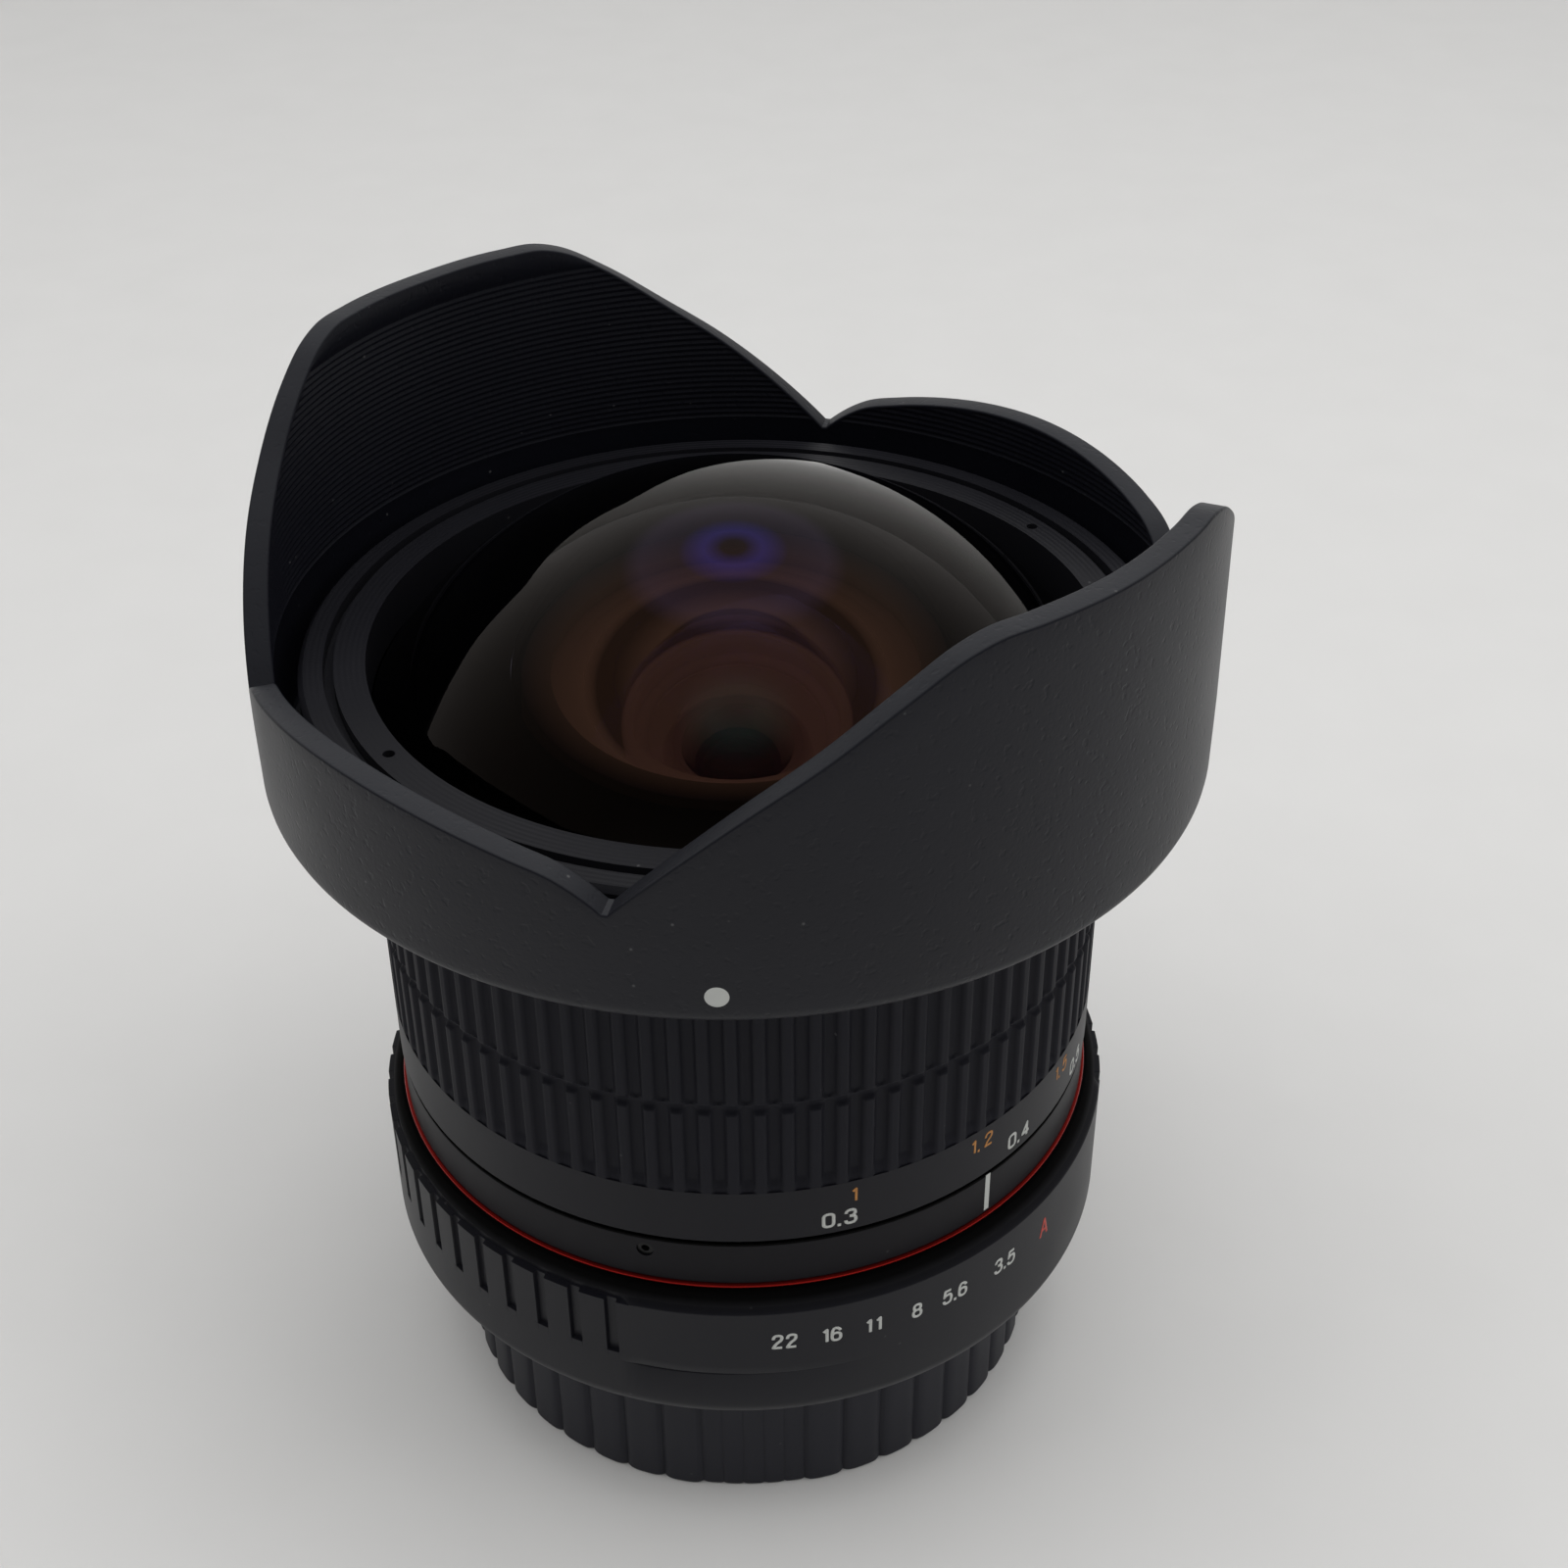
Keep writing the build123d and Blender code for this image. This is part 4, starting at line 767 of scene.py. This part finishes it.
def blacking_points(node, edge, bottom_rim):
    """Grid of the paint in a lens: a closed profile along its land, its bevel and its edge."""
    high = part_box(node)[1]
    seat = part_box(node)[0].z
    wall = high.x - paint_under
    land = seat + paint_under
    bevel = 1.1 * ground_bevel
    top = seat + edge - 2 * ground_bevel
    profile = [
        (bottom_rim + paint_start, land),
        (wall - bevel, land),
        (wall, land + bevel),
        (wall, top),
        (wall - paint_thick, top),
        (wall - paint_thick, land + bevel + paint_thick),
        (wall - bevel - paint_thick, land + paint_thick),
        (bottom_rim + paint_start, land + paint_thick),
    ]
    radii, levels = np.array(profile).T
    return round_surface(radii[:, None], levels[:, None], whole_turn(glass_columns))


edge_paint = []
for node in ("element_01", "element_02", "element_03"):
    edge, top_sag, bottom_rim, bottom_sag = glass_shapes[node]
    points = blacking_points(node, edge * mm, bottom_rim * mm)
    piece = piece_from_grid("edge_paint_" + node[-2:], points, close_rows=True, close_columns=True)
    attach(piece, "optics")
    edge_paint.append(piece)

# %% [markdown]
# Finishes. The black pieces differ slightly: satin anodised rings, matt rubber, pebbled plastic.
# Images could be wrapped round them, but noise in the object's space has no seams. All share a
# fine grain with patches and sparse dust, and the turned ones the lines of a lathe, so each of
# the two effects is a node group built once.

# %% Shader helpers
def new_group(name, inputs, outputs):
    """An empty node group with named float sockets."""
    group = bpy.data.node_groups.new(name, "ShaderNodeTree")
    for socket, value in inputs.items():
        made = group.interface.new_socket(socket, in_out="INPUT", socket_type="NodeSocketFloat")
        made.default_value = value
    for socket in outputs:
        group.interface.new_socket(socket, in_out="OUTPUT", socket_type="NodeSocketFloat")
    return group, group.nodes.new("NodeGroupInput"), group.nodes.new("NodeGroupOutput")


def ranged(tree, source, low, high, at_low, at_high):
    """A value that runs from one number to another while its source runs from low to high."""
    node = tree.nodes.new("ShaderNodeMapRange")
    sockets = ("From Min", "From Max", "To Min", "To Max")
    for socket, value in zip(sockets, (low, high, at_low, at_high)):
        node.inputs[socket].default_value = value
    tree.links.new(source, node.inputs["Value"])
    return node.outputs["Result"]


def connect(tree, value, socket):
    """Gives a socket a number, or links another socket to it."""
    if isinstance(value, (int, float)):
        socket.default_value = value
    else:
        tree.links.new(value, socket)


def combined(tree, operation, first, second):
    """Two values put together by one sum, each a number or a socket."""
    node = tree.nodes.new("ShaderNodeMath")
    node.operation = operation
    connect(tree, first, node.inputs[0])
    connect(tree, second, node.inputs[1])
    return node.outputs["Value"]


def mixed(tree, factor, first, second):
    """A float between two others, each a number or a socket."""
    node = tree.nodes.new("ShaderNodeMix")
    for socket, value in (("Factor", factor), ("A", first), ("B", second)):
        connect(tree, value, node.inputs[socket])
    return node.outputs["Result"]


def tinted(tree, factor, first, second):
    """A colour between two others. The first may be a socket."""
    node = tree.nodes.new("ShaderNodeMix")
    node.data_type = "RGBA"
    connect(tree, factor, node.inputs["Factor"])
    for name, value in (("A", first), ("B", second)):
        if isinstance(value, tuple):
            node.inputs[name].default_value = (*value, 1)
        else:
            tree.links.new(value, node.inputs[name])
    return node.outputs["Result"]


def noise(tree, place, scale, detail):
    """Soft noise, from 0 to 1, over a coordinate."""
    node = tree.nodes.new("ShaderNodeTexNoise")
    node.inputs["Detail"].default_value = detail
    connect(tree, scale, node.inputs["Scale"])
    tree.links.new(place, node.inputs["Vector"])
    return node.outputs["Fac"]


def grain_group():
    """Heights and masks that all the finishes share.

    The height is a fine noise less sparse pits, where a second noise is high. The patch mask is a
    broad noise, the dust mask is the middle of every cell of a coarse pattern, the upward mask,
    which places painted top light, is 1 where the surface looks up, and the distance is that from the
    axis.
    """
    inputs = {"Pebble scale": 900.0, "Pit depth": 0.0}
    outputs = ("Height", "Patch", "Dust", "Upward", "Distance")
    group, entry, leave = new_group("moulded_grain", inputs, outputs)
    place = group.nodes.new("ShaderNodeTexCoord")
    where = place.outputs["Object"]
    pebble = noise(group, where, entry.outputs["Pebble scale"], 3)
    pits = ranged(group, noise(group, where, 1300, 1), 0.60, 0.74, 0, 1)
    pits = combined(group, "MULTIPLY", pits, entry.outputs["Pit depth"])
    specks = group.nodes.new("ShaderNodeTexVoronoi")
    specks.inputs["Scale"].default_value = 260
    group.links.new(where, specks.inputs["Vector"])
    parts = group.nodes.new("ShaderNodeSeparateXYZ")
    group.links.new(place.outputs["Normal"], parts.inputs["Vector"])
    flat = group.nodes.new("ShaderNodeVectorMath")
    flat.operation = "MULTIPLY"
    flat.inputs[1].default_value = (1, 1, 0)
    group.links.new(where, flat.inputs[0])
    from_axis = group.nodes.new("ShaderNodeVectorMath")
    from_axis.operation = "LENGTH"
    group.links.new(flat.outputs["Vector"], from_axis.inputs[0])
    masks = {
        "Distance": from_axis.outputs["Value"],
        "Height": combined(group, "SUBTRACT", pebble, pits),
        "Patch": noise(group, where, 60, 2),
        "Dust": ranged(group, specks.outputs["Distance"], 0.05, 0.02, 0, 1),
        "Upward": ranged(group, parts.outputs["Z"], 0.6, 0.95, 0, 1),
    }
    for socket, value in masks.items():
        group.links.new(value, leave.inputs[socket])
    return group


grain = grain_group()


def turned_group():
    """Fine lines of a lathe: a height that rises and falls with the distance from the axis."""
    group, entry, leave = new_group("turned_lines", {"Line scale": 600.0}, ("Height",))
    place = group.nodes.new("ShaderNodeTexCoord")
    wave = group.nodes.new("ShaderNodeTexWave")
    wave.wave_type = "RINGS"
    wave.rings_direction = "Z"
    wave.inputs["Distortion"].default_value = 0.0
    group.links.new(place.outputs["Object"], wave.inputs["Vector"])
    group.links.new(entry.outputs["Line scale"], wave.inputs["Scale"])
    group.links.new(wave.outputs["Fac"], leave.inputs["Height"])
    return group


turned_lines = turned_group()

# %% [markdown]
# Anodised metal, plastic, rubber and paint could be four recipes, but they differ only in numbers:
# two colours, a roughness, the size of the grain and how strongly it shows. So one function makes
# them all. Every black is darker than it looks, because the pale room shines on it.

# %% Finish
patch_roughness = 0.08
# Painted top light: the grey that upward faces turn towards.
painted_top_light = (0.11, 0.113, 0.12)
speck_grey = (0.25, 0.25, 0.25)
# Painted shade: the flat black of the gaps under rings.
painted_gap_black = (0.0006, 0.0006, 0.0006)


def finish(name, dark, light, rough, pebble=900.0, pits=0.0, bump=0.1, depth=0.02, metallic=0.0,
           specular=0.5, dust=0.0, upward=0.0, lines=0.0, painted_shade_levels=None):
    """A moulded, anodised or turned finish.

    Two close colours lie in broad patches, with dust specks on them and a paler tone, painted top
    light, where the surface looks up. The roughness follows the patches, and the grain and the lathe
    lines bump it.
    Between the two levels of the last argument, in millimetres, the piece turns upwards to a flat
    black: painted shade of the gap under the ring above.
    """
    material = bpy.data.materials.new(name)
    material.use_nodes = True
    tree = material.node_tree
    shader = tree.nodes["Principled BSDF"]
    shader.inputs["Metallic"].default_value = metallic
    shader.inputs["Specular IOR Level"].default_value = specular
    texture = tree.nodes.new("ShaderNodeGroup")
    texture.node_tree = grain
    texture.inputs["Pebble scale"].default_value = pebble
    texture.inputs["Pit depth"].default_value = pits
    patch = texture.outputs["Patch"]
    colour = tinted(tree, patch, dark, light)
    # Upward faces turn paler: painted top light.
    if upward:
        top_light_share = combined(tree, "MULTIPLY", texture.outputs["Upward"], upward)
        colour = tinted(tree, top_light_share, colour, painted_top_light)
    if dust:
        specks = combined(tree, "MULTIPLY", texture.outputs["Dust"], dust)
        colour = tinted(tree, specks, colour, speck_grey)
    roughness = ranged(tree, patch, 0, 1, rough - patch_roughness, rough + patch_roughness)
    # A band turns flat black: painted shade of the gap under the ring above.
    if painted_shade_levels:
        place = tree.nodes.new("ShaderNodeTexCoord")
        parts = tree.nodes.new("ShaderNodeSeparateXYZ")
        tree.links.new(place.outputs["Object"], parts.inputs["Vector"])
        black = ranged(tree, parts.outputs["Z"], painted_shade_levels[0] * mm, painted_shade_levels[1] * mm, 0, 1)
        colour = tinted(tree, black, colour, painted_gap_black)
        roughness = mixed(tree, black, roughness, 1.0)
    tree.links.new(colour, shader.inputs["Base Color"])
    tree.links.new(roughness, shader.inputs["Roughness"])
    height = texture.outputs["Height"]
    if lines:
        turning = tree.nodes.new("ShaderNodeGroup")
        turning.node_tree = turned_lines
        turned = combined(tree, "MULTIPLY", turning.outputs["Height"], lines)
        height = combined(tree, "ADD", height, turned)
    relief = tree.nodes.new("ShaderNodeBump")
    relief.inputs["Strength"].default_value = bump
    relief.inputs["Distance"].default_value = depth * mm
    tree.links.new(height, relief.inputs["Height"])
    tree.links.new(relief.outputs["Normal"], shader.inputs["Normal"])
    return material


def dress(material, *pieces):
    """Gives pieces one material."""
    for piece in pieces:
        piece.data.materials.clear()
        piece.data.materials.append(material)


# %% [markdown]
# The finishes of this lens. Their colours were set by rendering it and comparing its tones with
# the photograph.

# %% The finishes of this lens
# The hood's rim and its other upward faces turn paler: painted top light.
hood_finish = finish("hood_finish", (0.0042, 0.0044, 0.0074), (0.0078, 0.0083, 0.0125), 0.43,
                     pebble=2200, pits=1.0, bump=0.7, depth=0.035, specular=0.24, dust=0.3, upward=0.22)
satin_black = finish("satin_black", (0.0055, 0.0053, 0.0078), (0.0095, 0.0093, 0.0125), 0.42,
                     pebble=2500, bump=0.2, specular=0.17, dust=0.1)
# The top of the aperture ring, under the red ring, and the top face of the index ring, under the focus
# ring, turn flat black: painted shade of those gaps.
aperture_black = finish("aperture_black", (0.0045, 0.0045, 0.007), (0.008, 0.008, 0.0115), 0.42,
                        pebble=2500, bump=0.2, specular=0.22, dust=0.1, painted_shade_levels=(33.1, 34.0))
index_black = finish("index_black", (0.0045, 0.0042, 0.0058), (0.008, 0.0073, 0.0095), 0.42,
                     pebble=2500, bump=0.2, specular=0.13, dust=0.1, painted_shade_levels=(39.88, 39.94))
rubber = finish("grip_rubber", (0.0052, 0.0052, 0.0086), (0.0092, 0.0092, 0.0145), 0.6,
                pebble=2000, bump=0.3, specular=0.16, dust=0.2)
matt_black = finish("matt_black", (0.003, 0.003, 0.003), (0.005, 0.005, 0.005), 0.6,
                    pebble=2000, bump=0.2, specular=0.15)
edge_black = finish("edge_black", (0.001, 0.001, 0.001), (0.002, 0.002, 0.002), 0.9, specular=0.0)
# A warm brown with a weak glow, added below: painted light for the light scattered and mirrored inside
# the lens.
painted_glow_brown = finish("painted_glow_brown", (0.05, 0.03, 0.02), (0.07, 0.04, 0.03), 0.8, specular=0.1)
ring_black = finish("ring_black", (0.008, 0.008, 0.010), (0.012, 0.012, 0.015), 0.4,
                    pebble=2500, bump=0.5, specular=0.3, dust=0.2, lines=1.5)
cap_finish = finish("cap_finish", (0.0112, 0.0114, 0.0165), (0.0168, 0.017, 0.0235), 0.5,
                    pebble=1800, bump=0.3, specular=0.22, dust=0.1)
steel = finish("turned_steel", (0.45, 0.45, 0.45), (0.55, 0.55, 0.54), 0.3, metallic=1.0)
black_steel = finish("black_steel", (0.004, 0.004, 0.004), (0.006, 0.006, 0.006), 0.35, specular=0.2)
mount_chrome = finish("mount_chrome", (0.55, 0.55, 0.54), (0.66, 0.66, 0.65), 0.22, metallic=1.0)
brass = finish("cam_brass", (0.55, 0.40, 0.18), (0.66, 0.50, 0.25), 0.3, metallic=1.0)
red_trim = finish("red_trim", (0.22, 0.006, 0.005), (0.34, 0.012, 0.008), 0.25, metallic=0.9)
white_paint = finish("white_paint", (0.42, 0.43, 0.41), (0.52, 0.53, 0.51), 0.5, specular=0.25)
orange_paint = finish("orange_paint", (0.38, 0.17, 0.045), (0.46, 0.21, 0.06), 0.5, specular=0.25)
red_paint = finish("red_paint", (0.40, 0.055, 0.04), (0.46, 0.065, 0.048), 0.5, specular=0.25)
print("finishes", len(bpy.data.materials))

# %% [markdown]
# Lens glass is coated, so it reflects much less than plain glass and what it does reflect has a
# colour. The tint of the specular reflection does both: a dark colour for a good coating, a warm
# one for the front glass, violet, orange and green ones inside. Deep in a real lens, the light
# that walls scatter and coated faces mirror makes a warm glow and a violet ring. Very little of
# it comes back in a render, so rings of weak light stand in for it.

# %% Coated glass
def grain_of(tree):
    """The grain group's node in a material."""
    return next(node for node in tree.nodes if node.type == "GROUP" and node.node_tree == grain)


def scatter(tree, rings, strength):
    """Rings of weak light round the axis, for a material that holds the grain group.

    A ring is three radii in millimetres, where it starts, is strongest and ends, and a colour.
    """
    shader = tree.nodes["Principled BSDF"]
    distance = grain_of(tree).outputs["Distance"]
    light = (0.0, 0.0, 0.0)
    for start, peak, end, colour in rings:
        rising = ranged(tree, distance, start * mm, peak * mm, 0, 1)
        falling = ranged(tree, distance, peak * mm, end * mm, 1, 0)
        light = tinted(tree, combined(tree, "MULTIPLY", rising, falling), light, colour)
    tree.links.new(light, shader.inputs["Emission Color"])
    shader.inputs["Emission Strength"].default_value = strength


def coated_glass(name, reflection, clear, index=1.6, rings=(), strength=0.0):
    """Clear glass whose reflection has the colour and the weakness of its coating."""
    material = bpy.data.materials.new(name)
    material.use_nodes = True
    tree = material.node_tree
    shader = tree.nodes["Principled BSDF"]
    shader.inputs["Transmission Weight"].default_value = 1.0
    shader.inputs["IOR"].default_value = index
    shader.inputs["Specular Tint"].default_value = (*reflection, 1)
    texture = tree.nodes.new("ShaderNodeGroup")
    texture.node_tree = grain
    deeper = tuple(0.94 * value for value in clear)
    tree.links.new(tinted(tree, texture.outputs["Patch"], deeper, clear), shader.inputs["Base Color"])
    shader.inputs["Roughness"].default_value = 0.0
    if rings:
        scatter(tree, rings, strength)
    return material


# %% [markdown]
# The coatings, from the front inwards: the tint of the reflection, that of the glass, how much it
# bends light, and its rings of light. The hollow face of the front glass hardly bends any: with
# more, it would mirror the room as a bright arc, which the real dome doesn't show.

# %% Coatings
green_pupil = (-3.0, 2.5, 6.0, (0.45, 1.0, 0.5))
coatings = {
    "element_01": ((0.9, 0.70, 0.58), (0.34, 0.31, 0.42), 1.33),
    "element_02": ((0.09, 0.06, 0.40), (0.9, 0.8, 0.95)),
    "element_03": ((1.0, 0.40, 0.20), (0.95, 0.9, 0.9), 1.6, [green_pupil], 0.016),
    "element_04": ((0.15, 0.60, 0.28), (0.9, 0.97, 0.92)),
}
inner_coating = ((0.15, 0.12, 0.30), (0.97, 0.97, 0.97))
purple_cap = (-1.0, 7.8, 9.4, (0.15, 0.11, 0.2))
violet_ring = (1.0, 2.5, 4.6, (0.20, 0.16, 0.95))
warm_glow = (4.5, 10.0, 17.4, (1.0, 0.56, 0.24))
scatter(painted_glow_brown.node_tree, [warm_glow], 0.09)

# %% [markdown]
# Every node of the frame first gets the finish of its slot, so that none is left bare. Then the
# pieces that the eye can tell apart get their own.

# %% Dressing
slot_finish = {
    "cap_plastic": cap_finish, "mount_metal": mount_chrome, "steel": steel, "barrel_black": satin_black,
    "inner_black": matt_black, "red_trim": red_trim, "cam_brass": brass, "grip_rubber": rubber,
    "hood_plastic": hood_finish, "white_paint": white_paint, "blade_black": matt_black,
    "coated_glass": coated_glass("plain_coating", *inner_coating),
}
for row in frame["record"]["subparts"]:
    dress(slot_finish[row["material_slot"]], nodes[row["node"]])
for node, piece in glass.items():
    dress(coated_glass("coating_" + node[-2:], *coatings.get(node, inner_coating)), piece)
bowl_coating = coated_glass("bowl_coating", (0.2, 0.1, 0.4), coatings["element_01"][1], 1.03,
                            [purple_cap, violet_ring], 0.1)


def face_vectors(mesh, name):
    """One vector of every face of a mesh, as rows."""
    values = np.empty(len(mesh.polygons) * 3, np.float32)
    mesh.polygons.foreach_get(name, values)
    return values.reshape(-1, 3)


front_mesh = glass["element_01"].data
front_mesh.materials.append(bowl_coating)
from_axis = np.hypot(*face_vectors(front_mesh, "center")[:, :2].T)
looks_down = face_vectors(front_mesh, "normal")[:, 2] < -0.1
in_bowl = looks_down & (from_axis < glass_shapes["element_01"][2] * mm)
front_mesh.polygons.foreach_set("material_index", in_bowl.astype(np.int32))
print("faces of the bowl", in_bowl.sum())
dress(ring_black, nodes["front_ring"], nodes["front_barrel"])
dress(aperture_black, slotted)
dress(red_trim, nose_ring)
dress(index_black, nodes["index_ring"])
dress(black_steel, nodes["index_grub_screw"])
dress(hood_finish, hood)
dress(edge_black, edge_paint[0])
# The paint in the inner glasses and the inner rings and cells take the glowing warm brown: painted
# light.
dress(painted_glow_brown, *edge_paint[1:])
for node in ("inner_ring", "middle_cell", "front_spacer", "doublet_ring"):
    dress(painted_glow_brown, nodes[node])
dress(rubber, grip)
dress(cap_finish, cap)
dress(white_paint, *white_marks)
dress(orange_paint, *orange_marks)
dress(red_paint, red_mark)

# %% [markdown]
# The stage is one pale sheet. A floor and a wall would meet in a line, so it bends up behind the
# lens in a quarter circle. Seen from behind, its far parts fade into the background, by a little
# light of their own that only the camera sees.

# %% Stage
sweep_width = 2.6
floor_reach = 0.65
floor_front = -4 * floor_reach
sweep_height = 0.6
sweep_round = 0.45
fade_start = 1.3
fade_end = 2.7
fade_light = 0.42


def sweep_points():
    """A sheet that lies flat, bends up in a quarter circle and goes on upright."""
    turn = np.linspace(0, math.pi / 2, 24)
    bend = floor_reach + sweep_round * np.sin(turn)
    back = np.concatenate([[floor_front], bend, [floor_reach + sweep_round]])
    level = np.concatenate([[0], sweep_round * (1 - np.cos(turn)), [sweep_height]])
    side = np.array([-sweep_width, sweep_width])
    x, y = np.meshgrid(side, back, indexing="ij")
    z = np.broadcast_to(level, x.shape)
    return np.stack([x, y, z], axis=-1)


floor = piece_from_grid("floor", sweep_points())
floor_finish = finish("floor_finish", (0.69, 0.685, 0.675), (0.72, 0.715, 0.705), 0.9,
                      bump=0.0, specular=0.0)
tree = floor_finish.node_tree
far_off = ranged(tree, grain_of(tree).outputs["Distance"], fade_start, fade_end, 0, fade_light)
sight = tree.nodes.new("ShaderNodeLightPath")
far_light = combined(tree, "MULTIPLY", sight.outputs["Is Camera Ray"], far_off)
shader = tree.nodes["Principled BSDF"]
tree.links.new(far_light, shader.inputs["Emission Color"])
shader.inputs["Emission Strength"].default_value = 1.0
dress(floor_finish, floor)

# %% [markdown]
# Three large soft lamps stand in for a light tent. Nothing mirrors them, because a square lamp
# in the dome would give the studio away.

# %% Lamps
def soft_lamp(name, place, size, power):
    """A square area lamp that points at the middle of the lens, and that nothing mirrors."""
    data = bpy.data.lights.new(name, "AREA")
    data.size = size
    data.energy = power
    lamp = linked(name, data)
    lamp.location = place
    towards = Vector((0, 0, 50 * mm)) - Vector(place)
    lamp.rotation_euler = towards.to_track_quat("-Z", "Y").to_euler()
    lamp.visible_glossy = False
    lamp.visible_transmission = False
    print(name, "watts", power)


soft_lamp("top_lamp", (0.10, 0.04, 0.8), 0.8, 3.7)
soft_lamp("left_lamp", (-0.65, -0.1, 0.85), 0.6, 1.5)
soft_lamp("right_lamp", (0.8, -0.2, 0.5), 0.6, 1.35)

# %% [markdown]
# The world is the rest of the room: an even light, and a pale background for the camera. What
# gloss mirrors is a gradient, bright low behind the lens and darker overhead, in front and far
# to the sides, which draws the soft shine on the glass and rings.

# %% World
room_light = 0.46
background = 0.7
world = bpy.data.worlds.new("studio")
bpy.context.scene.world = world
world.use_nodes = True
tree = world.node_tree
sky = tree.nodes["Background"]
sky.inputs["Color"].default_value = (0.98, 0.98, 0.98, 1)
sight = tree.nodes.new("ShaderNodeLightPath")
heading = tree.nodes.new("ShaderNodeTexCoord")
parts = tree.nodes.new("ShaderNodeSeparateXYZ")
tree.links.new(heading.outputs["Generated"], parts.inputs["Vector"])
by_height = ranged(tree, parts.outputs["Z"], 0.15, 0.85, 0.9, 0.12)
by_depth = ranged(tree, parts.outputs["Y"], -0.5, 0.3, 0.3, 1.0)
aside = combined(tree, "ABSOLUTE", parts.outputs["X"], 0.0)
by_side = ranged(tree, aside, 0.45, 0.9, 1.0, 0.35)
mirrored = combined(tree, "MULTIPLY", combined(tree, "MULTIPLY", by_height, by_depth), by_side)
strength = mixed(tree, sight.outputs["Is Glossy Ray"], room_light, mirrored)
strength = mixed(tree, sight.outputs["Is Camera Ray"], strength, background)
tree.links.new(strength, sky.inputs["Strength"])
bpy.context.scene.view_settings.view_transform = "Standard"
print("room light", room_light, "background", background)

# %% [markdown]
# Last, the view layer is brought up to date.

# %% The last line
bpy.context.view_layer.update()
